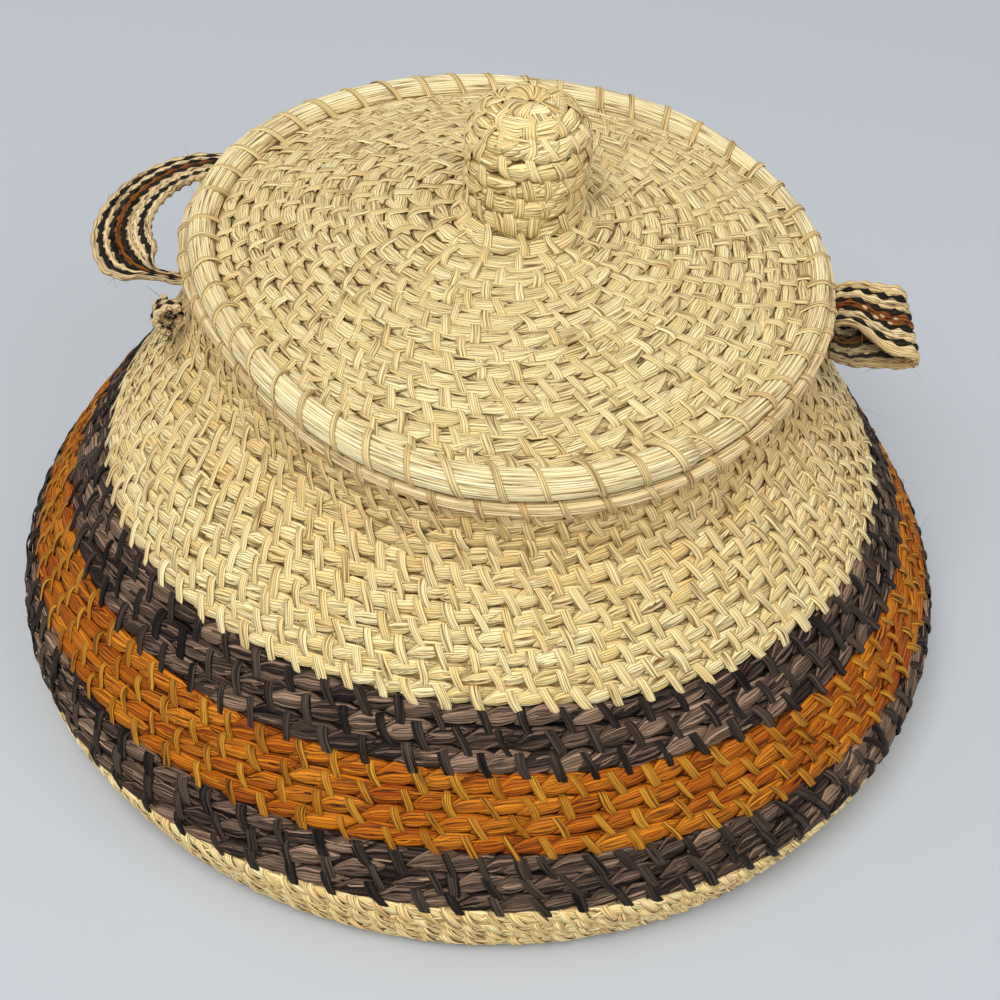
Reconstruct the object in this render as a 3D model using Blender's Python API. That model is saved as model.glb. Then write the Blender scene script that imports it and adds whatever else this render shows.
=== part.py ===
"""Lidded coiled basket with a knobbed lid and two strap handles, in metres, +Z up.

The basket is one long coil of straw that winds out over the base and up the wall, row sewn
to row, and carries a bound coil round its mouth. The lid is a second coil that starts on
top of the knob and ends in a thick rim. Each dyed length of coil is its own solid, and all
of them are cut from one turned outline and one spiral.
"""

import math

import bmesh
import bpy
from mathutils import Matrix, Vector

# The coil: the wall's thickness, the seam's depth, and the facets of one turn
COIL_WALL = 0.0050
SEAM_DEPTH = 0.0011
SEAT_GAP = 0.0003
TURN_STEPS = 28
KNOB_STEPS = 20

# The body's outline along the crests of its rows: radius and height, then the fillets
FOOT_RADIUS = 0.1455
BELLY_RADIUS = 0.1519
BELLY_HEIGHT = 0.0245
MOUTH_RADIUS = 0.0985
MOUTH_HEIGHT = 0.1331
NECK_INSET = 0.0002
NECK_BELOW_MOUTH = 0.0178
FOOT_FILLET = 0.007
BELLY_FILLET = 0.016
NECK_FILLET = 0.014

# The body's lengths of coil: the radius of the start, then rows and row height of each length.
# The base has as many rows as fit inside the bend of the foot.
BASE_START_RADIUS = 0.0106
STRAW_ROW = 0.0056
FOOT_ROWS = 5
LOWER_DARK_ROWS = 3
LOWER_DARK_ROW = 0.0059
OCHRE_ROWS = 4
OCHRE_ROW = 0.0059
UPPER_DARK_ROWS = 3
UPPER_DARK_ROW = 0.0069
BODY_SEAM_ANGLE = math.radians(120)

# The body's rows dip towards the foot at the two handle sides, between these outline lengths
ROW_DIP = 0.0100
ROW_DIP_STARTS = 0.080
ROW_DIP_FULL = 0.170
ROW_DIP_FADES = 0.215

# The bound coil round the mouth, which overhangs the wall a little
MOUTH_RIM_THICK = 0.0052
MOUTH_RIM_OVERHANG = 0.0011

# The lid: its edge lies inside the mouth's coil, and its heights are above its rim's middle
LID_EDGE_INSET = 0.0086
LID_EDGE_RISE = 0.0009
LID_BREAK_RADIUS = 0.0600
LID_BREAK_RISE = 0.0121
LID_BREAK_FILLET = 0.060
KNOB_BASE_RISE = 0.0201
KNOB_HEIGHT = 0.0410
KNOB_RADIUS = 0.0188
KNOB_WAIST_RADIUS = 0.0176
KNOB_DOME_FILLET = 0.0165
KNOB_WAIST_FILLET = 0.003
KNOB_START_RADIUS = 0.0055
KNOB_DIMPLE = 0.0020
KNOB_OFFSET = 0.0045
KNOB_OFFSET_FADE = 0.030
LID_SEAM_ANGLE = math.radians(26)

# The lid's rim: thin where the coil comes in at the right, thick for the rest of the turn
LID_RIM_THICK = 0.0090
LID_RIM_THIN = 0.0054
LID_RIM_THIN_STEPS = 6
LID_RIM_SWELL_STEPS = 3
LID_RIM_THIN_DROP = 0.0021
SEAT_RING_THICK = 0.0050
SEAT_RING_CLEARANCE = 0.0012

# The strap handles: flat twined bands that hinge where they leave the wall
STRAP_THICK = 0.0026
STRAP_AXIS_BELOW_MOUTH = 0.0041
STRAP_AXIS_CLEARANCE = 0.0042
STRAP_STEPS = 24
LEFT_STRAP_ANGLE = math.radians(163.5)
LEFT_STRAP_SPREAD = math.radians(17.6)
LEFT_STRAP_REACH = 0.0234
LEFT_STRAP_TILT = math.radians(12)
LEFT_STRAP_WIDTH = 0.0186
LEFT_STRAP_NECK_WIDTH = 0.0050
RIGHT_STRAP_ANGLE = math.radians(-1)
RIGHT_STRAP_REACH = 0.0236
RIGHT_STRAP_LEGS = 0.0098
RIGHT_STRAP_TILT = math.radians(28)
RIGHT_STRAP_WIDTH = 0.0205
RIGHT_STRAP_NECK_WIDTH = 0.0150
FOLD_STEPS = 6

# Where a strap goes through the wall: its gathered neck, its rounded end and its knot inside
ROOT_RADIUS = 0.0020
KNUCKLE_RADIUS = 0.0022
KNOT_RADIUS = 0.0044
KNOT_DROP = 0.0032
ROOT_CLEARANCE = 0.0003
ROOT_SIDES = 10

# The tufted tail of the left strap, a short curl beside its front root
TAIL_ANGLE = math.radians(187)
TAIL_BELOW_MOUTH = 0.0096
TAIL_CURL_RADIUS = 0.0042
TAIL_THICK = 0.0036
TAIL_STEPS = 8
TAIL_SIDES = 6

# Base colour and roughness of the straws, the dyed coils and the straps' cord
STRAW = ((0.74, 0.60, 0.36), 0.75)
PALE_STRAW = ((0.80, 0.68, 0.44), 0.70)
DARK = ((0.055, 0.042, 0.045), 0.80)
OCHRE = ((0.50, 0.16, 0.015), 0.75)
CORD = ((0.45, 0.30, 0.20), 0.85)

UP = Vector((0, 0, 1))


def clear_scene():
    """Removes whatever the scene held before."""
    for old in list(bpy.data.objects):
        bpy.data.objects.remove(old)


def smooth(value):
    """Eases a value between 0 and 1 in and out."""
    value = min(max(value, 0.0), 1.0)
    return value * value * (3 - 2 * value)


def outward(angle):
    """The level direction that points away from the basket's axis at an angle."""
    return Vector((math.cos(angle), math.sin(angle), 0))


class Outline:
    """A turned outline of straight runs and fillet arcs, read by the length along it."""

    def __init__(self, corners, side):
        """corners are (radius, height, fillet); side is 1 or -1, where the crests face."""
        self.side = side
        self.runs = []
        self.bends = []
        start = Vector(corners[0][:2])
        for before, corner, after in zip(corners, corners[1:], corners[2:]):
            here = Vector(corner[:2])
            into = (here - Vector(before[:2])).normalized()
            out_of = (Vector(after[:2]) - here).normalized()
            turn = math.atan2(into.x * out_of.y - into.y * out_of.x, into.dot(out_of))
            setback = corner[2] * math.tan(abs(turn) / 2)
            arc_start = here - into * setback
            self.runs.append(((arc_start - start).length, start, into, 0.0))
            self.bends.append(sum(run[0] for run in self.runs) + corner[2] * abs(turn) / 2)
            self.runs.append((corner[2] * abs(turn), arc_start, into, turn))
            start = here + out_of * setback
        last = Vector(corners[-1][:2])
        self.runs.append(((last - start).length, start, (last - start).normalized(), 0.0))
        self.length = sum(run[0] for run in self.runs)

    def rows_to_bend(self, start, bend):
        """How many rows of straw fit between a length and the middle of one of the bends."""
        return int((self.bends[bend] - start) / STRAW_ROW)

    def at(self, length):
        """The outline's point and its crest side's normal at a length, as (radius, height)."""
        for size, start, into, turn in self.runs:
            if length <= size:
                break
            length -= size
        else:
            length += size
        if turn:
            left = Vector((-into.y, into.x)) * math.copysign(1, turn)
            swing = abs(turn) * length / size
            along = into * math.cos(swing) + left * math.sin(swing)
            radius = size / abs(turn)
            point = start + into * radius * math.sin(swing) + left * radius * (1 - math.cos(swing))
        else:
            along = into
            point = start + into * length
        return point, Vector((along.y, -along.x)) * self.side

    def length_to(self, axis, value, low=0.0):
        """The length past low at which the radius (axis 0) or height (axis 1) grows to a value."""
        high = self.length
        for _ in range(50):
            middle = (low + high) / 2
            if self.at(middle)[0][axis] < value:
                low = middle
            else:
                high = middle
        return low


def body_outline():
    """The body's outline: level base, foot, belly, neck, and the wall up to the mouth."""
    return Outline(
        [
            (0.0, 0.0, 0.0),
            (FOOT_RADIUS, 0.0, FOOT_FILLET),
            (BELLY_RADIUS, BELLY_HEIGHT, BELLY_FILLET),
            (MOUTH_RADIUS - NECK_INSET, MOUTH_HEIGHT - NECK_BELOW_MOUTH, NECK_FILLET),
            (MOUTH_RADIUS, MOUTH_HEIGHT, 0.0),
        ],
        1,
    )


class LidPlace:
    """Where the lid's parts lie, worked out from the mouth's coil that it rests on."""

    def __init__(self):
        self.mouth_rim_radius = MOUTH_RADIUS + MOUTH_RIM_OVERHANG
        self.mouth_rim_height = MOUTH_HEIGHT + SEAT_GAP + MOUTH_RIM_THICK / 2
        self.edge_radius = self.mouth_rim_radius - LID_EDGE_INSET
        self.rim_radius = self.edge_radius + SEAT_GAP + LID_RIM_THICK / 2
        apart = (LID_RIM_THICK + MOUTH_RIM_THICK) / 2 + SEAT_GAP
        sideways = self.mouth_rim_radius - self.rim_radius
        self.rim_height = self.mouth_rim_height + math.sqrt(apart**2 - sideways**2)
        self.knob_base = self.rim_height + KNOB_BASE_RISE

    def outline(self):
        """The lid's outline: the knob's dome and side, its waist, and the lid's slope past its edge."""
        break_height = self.rim_height + LID_BREAK_RISE
        edge_height = self.rim_height + LID_EDGE_RISE
        slope = (edge_height - break_height) / (self.edge_radius - LID_BREAK_RADIUS)
        past_edge = self.edge_radius + 2 * STRAW_ROW
        knob_top = self.knob_base + KNOB_HEIGHT
        return Outline(
            [
                (0.0, knob_top, 0.0),
                (KNOB_RADIUS, knob_top, KNOB_DOME_FILLET),
                (KNOB_WAIST_RADIUS, self.knob_base, KNOB_WAIST_FILLET),
                (LID_BREAK_RADIUS, break_height, LID_BREAK_FILLET),
                (past_edge, break_height + slope * (past_edge - LID_BREAK_RADIUS), 0.0),
            ],
            -1,
        )


def material(name, look):
    """A Principled material from a base colour and a roughness."""
    made = bpy.data.materials.new(name)
    made.use_nodes = True
    shader = made.node_tree.nodes["Principled BSDF"]
    shader.inputs["Base Color"].default_value = (*look[0], 1)
    shader.inputs["Roughness"].default_value = look[1]
    shader.inputs["Metallic"].default_value = 0
    return made


def finish(name, builder, look):
    """Turns a bmesh into a named object with its own material, its faces pointing out."""
    bmesh.ops.recalc_face_normals(builder, faces=builder.faces)
    mesh = bpy.data.meshes.new(name)
    builder.to_mesh(mesh)
    builder.free()
    mesh.shade_smooth()
    mesh.set_sharp_from_angle(angle=math.radians(50))
    made = bpy.data.objects.new(name, mesh)
    bpy.context.collection.objects.link(made)
    mesh.materials.append(material(name, look))
    return made


def cut(target, cutter):
    """Takes a cutter's shape out of an object and hides the cutter."""
    cutter.hide_render = True
    cutter.display_type = "WIRE"
    modifier = target.modifiers.new(cutter.name, "BOOLEAN")
    modifier.operation = "DIFFERENCE"
    modifier.solver = "EXACT"
    modifier.object = cutter


def set_origin(piece, point):
    """Moves an object's origin to a point and leaves its shape where it is."""
    piece.data.transform(Matrix.Translation(-point))
    piece.location = point


def swept(name, sections, look, closed=False):
    """A solid through cross-sections, each a list of points, capped where it doesn't close."""
    builder = bmesh.new()
    loops = [[builder.verts.new(point) for point in section] for section in sections]
    pairs = list(zip(loops, loops[1:]))
    if closed:
        pairs.append((loops[-1], loops[0]))
    else:
        builder.faces.new(loops[0])
        builder.faces.new(loops[-1])
    for here, there in pairs:
        for corners in zip(here, there, there[1:] + there[:1], here[1:] + here[:1]):
            builder.faces.new(corners)
    return finish(name, builder, look)


def turned(name, profile, start, along, look):
    """A solid turned round a line, from a pole through rings of (distance, radius) to a pole."""
    builder = bmesh.new()
    across = along.cross(UP).normalized()
    other = along.cross(across)
    rings = []
    for distance, radius in profile[1:-1]:
        section = tube_section(start + along * distance, across, other, radius, ROOT_SIDES)
        rings.append([builder.verts.new(point) for point in section])
    poles = [builder.verts.new(start + along * profile[end][0]) for end in (0, -1)]
    for side in range(ROOT_SIDES):
        after = (side + 1) % ROOT_SIDES
        for here, there in zip(rings, rings[1:]):
            builder.faces.new((here[side], here[after], there[after], there[side]))
        builder.faces.new((poles[0], rings[0][after], rings[0][side]))
        builder.faces.new((poles[1], rings[-1][side], rings[-1][after]))
    return finish(name, builder, look)


def tube_section(centre, across, other, radius, sides):
    """The corners of a round section between two directions."""
    turns = [math.tau * (side + 0.5) / sides for side in range(sides)]
    return [centre + (across * math.cos(a) + other * math.sin(a)) * radius for a in turns]


def band_section(centre, across, through, width):
    """The corners of a flat strap's section: across is along its width, through its thickness."""
    edge = across * (width / 2)
    flat = across * (width / 2 - STRAP_THICK / 2)
    face = through * (STRAP_THICK / 2)
    return [
        centre + edge,
        centre + flat + face,
        centre - flat + face,
        centre - edge,
        centre - flat - face,
        centre + flat - face,
    ]


class Winding:
    """Rows of sewn coil that wind along an outline, each turn one row further on."""

    def __init__(self, outline, start, lengths, seam_angle, steps, way, shift=None, dip=None):
        """start is where row 0 begins along the outline, and lengths are (rows, row height).

        way is 1 where the coil runs counter-clockwise from above, and -1 where it runs clockwise.
        shift gives the rows' sideways offset at a length along the outline, and dip how far they
        move along the outline at a length and an angle.
        """
        self.outline = outline
        self.marks = [(0, start)]
        for rows, row_height in lengths:
            first, near = self.marks[-1]
            self.marks.append((first + rows, near + rows * row_height))
        self.seam_angle = seam_angle
        self.steps = steps
        self.way = way
        self.shift = shift or (lambda length: 0.0)
        self.dip = dip or (lambda length, angle: 0.0)

    def length_at(self, row):
        """The length along the outline at a row, counted from the start of the coil."""
        for (first, near), (last, far) in zip(self.marks, self.marks[1:]):
            if row <= last:
                break
        return near + (far - near) * (row - first) / (last - first)

    def place(self, step, row, depth, inset=0.0, nudge=0.0):
        """A point at a step of the turn, a row and a depth under the crests.

        inset moves it along the outline and nudge along the turn, both in metres.
        """
        angle = self.seam_angle + self.way * math.tau * step / self.steps
        length = self.length_at(row) + inset
        length += self.dip(length, angle)
        point, normal = self.outline.at(length)
        radius, height = point - normal * depth
        angle += self.way * nudge / radius
        return outward(angle) * radius + Vector((self.shift(length), 0, height))

    def coil(self, name, index, look):
        """One of the lengths of coil, with a step at each end where the turn closes."""
        first = self.marks[index][0]
        rows = self.marks[index + 1][0] - first
        builder = bmesh.new()

        def vertex(step, half_row, depth):
            inset = (half_row == 0) - (half_row == 2 * rows)
            nudge = (step == 0 and half_row < 2) - (step == self.steps)
            row = first + half_row / 2 + step / self.steps
            return builder.verts.new(self.place(step, row, depth, inset * SEAT_GAP, nudge * SEAT_GAP))

        def column(step, half_rows, whole_rows):
            crests = [vertex(step, half, 0.0 if half % 2 else SEAM_DEPTH) for half in half_rows]
            return crests, [vertex(step, 2 * whole, COIL_WALL) for whole in whole_rows]

        columns = [column(step, range(2 * rows + 1), range(rows + 1)) for step in range(self.steps)]
        # The last column is the first one a row further on, and only its last row is new.
        crests, backs = column(self.steps, (2 * rows - 1, 2 * rows), (rows,))
        columns.append((columns[0][0][2:] + crests, columns[0][1][1:] + backs))
        for (crests, backs), (next_crests, next_backs) in zip(columns, columns[1:]):
            for near, far in ((crests, next_crests), (backs, next_backs)):
                for corners in zip(near, far, far[1:], near[1:]):
                    builder.faces.new(corners)
            for end in (0, -1):
                builder.faces.new((crests[end], backs[end], next_backs[end], next_crests[end]))
        builder.faces.new(columns[0][0][:3] + columns[0][1][1::-1])
        builder.faces.new(columns[-1][0][-3:] + columns[-1][1][:-3:-1])
        return finish(name, builder, look)

    def start(self, name, dimple, look):
        """The wrapped start that fills the middle of the first turn, sunk by a dimple."""
        builder = bmesh.new()
        middle, normal = self.outline.at(0.0)
        loops = []
        for depth, centre_depth in ((0.0, dimple), (COIL_WALL, COIL_WALL)):
            loop = []
            for step in range(self.steps + 1):
                nudge = -SEAT_GAP if step in (0, self.steps) else 0.0
                point = self.place(step, step / self.steps, depth, -SEAT_GAP, nudge)
                loop.append(builder.verts.new(point))
            centre = Vector((self.shift(0.0), 0, (middle - normal * centre_depth).y))
            loops.append((loop, builder.verts.new(centre)))
        (face, face_centre), (back, back_centre) = loops
        for index in range(len(face)):
            after = (index + 1) % len(face)
            builder.faces.new((face[index], face[after], back[after], back[index]))
            builder.faces.new((face[index], face[after], face_centre))
            builder.faces.new((back[index], back[after], back_centre))
        return finish(name, builder, look)


def ring(name, radius, height, thick, sides, seam_angle, look):
    """A closed coil of round section."""
    sections = []
    for step in range(TURN_STEPS):
        way = outward(seam_angle + math.tau * step / TURN_STEPS)
        sections.append(tube_section(way * radius + UP * height, way, UP, thick / 2, sides))
    return swept(name, sections, look, closed=True)


def above(name, height):
    """A cutter that takes everything over a height."""
    sections = []
    for level in (height, height + 4 * STRAW_ROW):
        sections.append(tube_section(UP * level, outward(0), outward(math.pi / 2), BELLY_RADIUS, TURN_STEPS))
    return swept(name, sections, STRAW)


def beyond(name, radius, height, seam_angle):
    """A cutter that takes everything outside a radius."""
    sections = []
    reach = 4 * STRAW_ROW
    for step in range(TURN_STEPS):
        way = outward(seam_angle + math.tau * step / TURN_STEPS)
        near = way * radius + UP * height
        far = way * (radius + reach) + UP * height
        sections.append([near - UP * reach, far - UP * reach, far + UP * reach, near + UP * reach])
    return swept(name, sections, STRAW, closed=True)


def build_body(outline):
    """The base and the wall in its dyed lengths. Returns the two lengths under the mouth."""
    lengths = [
        (outline.rows_to_bend(BASE_START_RADIUS, 0), STRAW_ROW),
        (FOOT_ROWS, STRAW_ROW),
        (LOWER_DARK_ROWS, LOWER_DARK_ROW),
        (OCHRE_ROWS, OCHRE_ROW),
        (UPPER_DARK_ROWS, UPPER_DARK_ROW),
    ]
    below_wall = BASE_START_RADIUS + sum(rows * row_height for rows, row_height in lengths)
    to_mouth = outline.length - below_wall
    lengths.append((math.ceil((to_mouth + COIL_WALL) / STRAW_ROW), STRAW_ROW))

    def dip(length, angle):
        rise = smooth((length - ROW_DIP_STARTS) / (ROW_DIP_FULL - ROW_DIP_STARTS))
        fade = smooth((length - ROW_DIP_FADES) / (outline.length - ROW_DIP_FADES))
        return -ROW_DIP * rise * (1 - fade) * math.cos(angle) ** 2

    winding = Winding(
        outline, BASE_START_RADIUS, lengths, BODY_SEAM_ANGLE, TURN_STEPS, -1, dip=dip
    )
    winding.start("base_start", 0.0, STRAW)
    winding.coil("base_coil", 0, STRAW)
    winding.coil("foot_coil", 1, STRAW)
    winding.coil("lower_dark_coil", 2, DARK)
    winding.coil("ochre_coil", 3, OCHRE)
    upper_dark = winding.coil("upper_dark_coil", 4, DARK)
    wall = winding.coil("wall_coil", 5, STRAW)
    cut(wall, above("mouth_cutter", MOUTH_HEIGHT))
    return upper_dark, wall


def build_mouth_rim(place):
    """The bound coil that finishes the mouth."""
    radius, height = place.mouth_rim_radius, place.mouth_rim_height
    ring("mouth_rim_coil", radius, height, MOUTH_RIM_THICK, 8, BODY_SEAM_ANGLE, PALE_STRAW)


def build_lid(place):
    """The knob, the lid, its rim and its seat ring, all carried by an empty on the lifting line."""
    outline = place.outline()
    knob_rows = outline.rows_to_bend(KNOB_START_RADIUS, 1)
    knob_length = KNOB_START_RADIUS + knob_rows * STRAW_ROW

    def lean(length):
        return KNOB_OFFSET * (1 - smooth((length - knob_length) / KNOB_OFFSET_FADE))

    to_edge = outline.length_to(0, place.edge_radius, knob_length) - knob_length
    rows = math.ceil((to_edge + COIL_WALL) / STRAW_ROW)
    knob = Winding(
        outline, KNOB_START_RADIUS, [(knob_rows, STRAW_ROW)], LID_SEAM_ANGLE, KNOB_STEPS, 1, lean
    )
    slope = Winding(outline, knob_length, [(rows, STRAW_ROW)], LID_SEAM_ANGLE, TURN_STEPS, 1, lean)
    lid = slope.coil("lid_coil", 0, STRAW)
    cut(lid, beyond("lid_edge_cutter", place.edge_radius, place.rim_height, LID_SEAM_ANGLE))
    pieces = [knob.start("knob_start", KNOB_DIMPLE, PALE_STRAW), knob.coil("knob_coil", 0, STRAW)]
    pieces += [lid, build_lid_rim(place), build_seat_ring(outline, knob_length)]
    lift = bpy.data.objects.new("lid_lift", None)
    lift.location = (0, 0, place.rim_height)
    bpy.context.collection.objects.link(lift)
    for piece in pieces:
        piece.parent = lift
        piece.matrix_parent_inverse = Matrix.Translation(-lift.location)


def build_lid_rim(place):
    """The lid's last turn: it comes in thin, swells, and ends blunt beside its own start."""
    sections = []
    for step in range(TURN_STEPS + 1):
        swell = smooth((step - LID_RIM_THIN_STEPS) / LID_RIM_SWELL_STEPS)
        thick = LID_RIM_THIN + (LID_RIM_THICK - LID_RIM_THIN) * swell
        radius = place.edge_radius + SEAT_GAP + thick / 2
        turn = (step - LID_RIM_THIN_STEPS) / TURN_STEPS
        nudge = (step == 0) - (step == TURN_STEPS)
        way = outward(LID_SEAM_ANGLE + math.tau * turn + nudge * SEAT_GAP / radius)
        height = place.rim_height - LID_RIM_THIN_DROP * (1 - swell)
        sections.append(tube_section(way * radius + UP * height, way, UP, thick / 2, 8))
    return swept("lid_rim_coil", sections, PALE_STRAW)


def build_seat_ring(outline, low):
    """The ring sewn under the lid that centres it in the mouth."""
    depth = COIL_WALL + SEAT_GAP + SEAT_RING_THICK / 2
    mouth_inside = (MOUTH_RADIUS - COIL_WALL) * math.cos(math.pi / TURN_STEPS)
    radius = mouth_inside - SEAT_RING_CLEARANCE - SEAT_RING_THICK / 2
    slope = outline.at(outline.length)[1]
    point = outline.at(outline.length_to(0, radius + slope.x * depth, low))[0]
    height = point.y - slope.y * depth
    return ring("lid_seat_ring", radius, height, SEAT_RING_THICK, 6, LID_SEAM_ANGLE, STRAW)


class StrapPlace:
    """Where the straps hinge: just outside the wall, a little under the mouth."""

    def __init__(self, outline):
        self.height = MOUTH_HEIGHT - STRAP_AXIS_BELOW_MOUTH
        wall = outline.at(outline.length_to(1, self.height))[0].x
        self.radius = wall + STRAP_AXIS_CLEARANCE
        self.knot_height = self.height - KNOT_DROP
        inside = outline.at(outline.length_to(1, self.knot_height))[0].x - COIL_WALL
        self.knot_radius = inside * math.cos(math.pi / TURN_STEPS) - SEAT_GAP - KNOT_RADIUS

    def root_line(self, angle):
        """The knot's middle, the way out through the wall, and the distance to the hinge axis."""
        knot = outward(angle) * self.knot_radius + UP * self.knot_height
        hinge = outward(angle) * self.radius + UP * self.height
        return knot, (hinge - knot).normalized(), (hinge - knot).length


def build_root(name, place, angle, lengths):
    """One gathered end of a strap: its knot inside, its neck through the wall, its rounded end.

    lengths are the lengths of coil that its hole may cross.
    """
    knot, way, reach = place.root_line(angle)
    profile = []
    for index in range(6):
        turn = math.pi * index / 6
        profile.append((-KNOT_RADIUS * math.cos(turn), KNOT_RADIUS * math.sin(turn)))
    profile.append((math.sqrt(KNOT_RADIUS**2 - ROOT_RADIUS**2), ROOT_RADIUS))
    profile.append((reach - KNUCKLE_RADIUS, ROOT_RADIUS))
    for index in range(3):
        turn = math.pi / 6 * index
        profile.append((reach + KNUCKLE_RADIUS * math.sin(turn), KNUCKLE_RADIUS * math.cos(turn)))
    profile.append((reach + KNUCKLE_RADIUS, 0.0))
    turned(name, profile, knot, way, CORD)
    radius = ROOT_RADIUS + ROOT_CLEARANCE
    hole = turned(name + "_hole", [(0.0, 0.0), (0.0, radius), (reach, radius), (reach, 0.0)], knot, way, CORD)
    for length in lengths:
        cut(length, hole)


def build_left_strap(place, lengths):
    """The left handle: one band bulging out from two roots, its outer edge drooping."""
    ahead = outward(LEFT_STRAP_ANGLE)
    side = UP.cross(ahead)
    axis = place.radius * math.cos(LEFT_STRAP_SPREAD)
    half_span = place.radius * math.sin(LEFT_STRAP_SPREAD)
    root = axis + KNUCKLE_RADIUS + SEAT_GAP
    sections = []
    for step in range(STRAP_STEPS + 1):
        turn = math.pi * step / STRAP_STEPS
        centre = ahead * (root + LEFT_STRAP_REACH * math.sin(turn)) + side * (half_span * math.cos(turn))
        along = ahead * (LEFT_STRAP_REACH * math.cos(turn)) - side * (half_span * math.sin(turn))
        away = UP.cross(along).normalized()
        across = away * math.cos(LEFT_STRAP_TILT) - UP * math.sin(LEFT_STRAP_TILT)
        through = across.cross(along).normalized()
        share = smooth(math.sin(turn) / 0.7)
        width = LEFT_STRAP_NECK_WIDTH + (LEFT_STRAP_WIDTH - LEFT_STRAP_NECK_WIDTH) * share
        sections.append(band_section(centre + UP * place.height, across, through, width))
    strap = swept("left_strap", sections, CORD)
    set_origin(strap, ahead * axis + UP * place.height)
    build_root("left_strap_root_front", place, LEFT_STRAP_ANGLE + LEFT_STRAP_SPREAD, lengths)
    build_root("left_strap_root_back", place, LEFT_STRAP_ANGLE - LEFT_STRAP_SPREAD, lengths)


def build_right_strap(place, lengths):
    """The right handle: a band folded flat on itself, both ends gathered at one root."""
    ahead = outward(RIGHT_STRAP_ANGLE)
    across = UP.cross(ahead) * math.cos(RIGHT_STRAP_TILT) + UP * math.sin(RIGHT_STRAP_TILT)
    lift = ahead.cross(across)
    bend = RIGHT_STRAP_LEGS / 2
    near = KNUCKLE_RADIUS + SEAT_GAP + STRAP_THICK / 2 + bend
    far = near + RIGHT_STRAP_REACH - STRAP_THICK - 2 * bend
    stations = []
    for end, other_end, first_turn in ((far, near, -math.pi / 2), (near, far, math.pi / 2)):
        for step in range(FOLD_STEPS + 1):
            turn = first_turn + math.pi * step / FOLD_STEPS
            stations.append((end + bend * math.cos(turn), turn))
        for share in (1 / 3, 2 / 3):
            stations.append((end + (other_end - end) * share, turn))
    hinge = ahead * place.radius + UP * place.height
    sections = []
    for run, turn in stations:
        spread = smooth((run - near + bend) / (far - near))
        width = RIGHT_STRAP_NECK_WIDTH + (RIGHT_STRAP_WIDTH - RIGHT_STRAP_NECK_WIDTH) * spread
        through = ahead * math.cos(turn) + lift * math.sin(turn)
        centre = hinge + ahead * run + lift * (bend * math.sin(turn))
        sections.append(band_section(centre, across, through, width))
    strap = swept("right_strap", sections, CORD, closed=True)
    set_origin(strap, hinge)
    build_root("right_strap_root", place, RIGHT_STRAP_ANGLE, lengths)


def build_tail(outline):
    """The left strap's tufted tail, a curl whose ends meet the wall beside its front root."""
    middle = MOUTH_HEIGHT - TAIL_BELOW_MOUTH
    wall = outline.at(outline.length_to(1, middle))[0].x
    ahead = outward(TAIL_ANGLE)
    side = UP.cross(ahead)
    sections = []
    for step in range(TAIL_STEPS + 1):
        turn = math.pi * (step / TAIL_STEPS - 0.5)
        way = ahead * math.cos(turn) + UP * math.sin(turn)
        centre = ahead * (wall + SEAT_GAP) + UP * middle + way * TAIL_CURL_RADIUS
        sections.append(tube_section(centre, way, side, TAIL_THICK / 2, TAIL_SIDES))
    swept("left_strap_tail", sections, CORD)


def main():
    """Builds the whole basket."""
    clear_scene()
    outline = body_outline()
    upper_lengths = build_body(outline)
    lid_place = LidPlace()
    build_mouth_rim(lid_place)
    build_lid(lid_place)
    strap_place = StrapPlace(outline)
    build_left_strap(strap_place, upper_lengths)
    build_right_strap(strap_place, upper_lengths)
    build_tail(outline)


main()
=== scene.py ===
"""Looks of the lidded coiled basket: straw coils, stitches, bound rims and striped straps.

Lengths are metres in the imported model's frame: +Z up, the photographed side towards -Y.
A coil is dressed in its own coordinates: turns along it, rows across it (0 at the older seam,
1 at the newer one) and rise above the crests of its rows.
"""

import logging
import math
from collections.abc import Callable
from dataclasses import dataclass, field
from enum import Enum

import bpy
import numpy as np
from mathutils import Matrix, Vector


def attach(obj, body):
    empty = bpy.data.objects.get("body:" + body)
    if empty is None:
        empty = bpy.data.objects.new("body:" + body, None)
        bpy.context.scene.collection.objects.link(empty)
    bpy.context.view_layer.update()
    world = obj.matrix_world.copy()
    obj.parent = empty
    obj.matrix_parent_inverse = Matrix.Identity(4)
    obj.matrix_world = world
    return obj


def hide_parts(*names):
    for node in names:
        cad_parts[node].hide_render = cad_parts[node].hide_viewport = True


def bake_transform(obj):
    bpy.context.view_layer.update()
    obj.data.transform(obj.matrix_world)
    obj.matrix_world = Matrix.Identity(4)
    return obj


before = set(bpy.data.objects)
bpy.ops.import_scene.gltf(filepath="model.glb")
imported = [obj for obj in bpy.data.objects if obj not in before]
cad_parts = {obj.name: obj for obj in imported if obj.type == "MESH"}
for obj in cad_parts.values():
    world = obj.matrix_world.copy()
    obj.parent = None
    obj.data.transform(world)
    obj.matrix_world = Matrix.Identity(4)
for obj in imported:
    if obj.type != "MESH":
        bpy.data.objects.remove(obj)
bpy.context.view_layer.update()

LOG = logging.getLogger("basket")
TAU = math.tau
MILLI = 1000.0
PATTERN_REACH = 400.0
BUMP_HEIGHT = 0.0003

Array = np.ndarray
Rng = np.random.Generator
Triple = tuple[float, float, float]
Colour = tuple[int, int, int]
Socket = bpy.types.NodeSocket
Material = bpy.types.Material


class Side(Enum):
    """The side of a coil that is dressed."""

    OUTSIDE = 1
    INSIDE = -1


def smooth(value: Array | float) -> Array:
    """Eases values between 0 and 1 in and out."""
    value = np.clip(value, 0.0, 1.0)
    return value * value * (3 - 2 * value)


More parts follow.
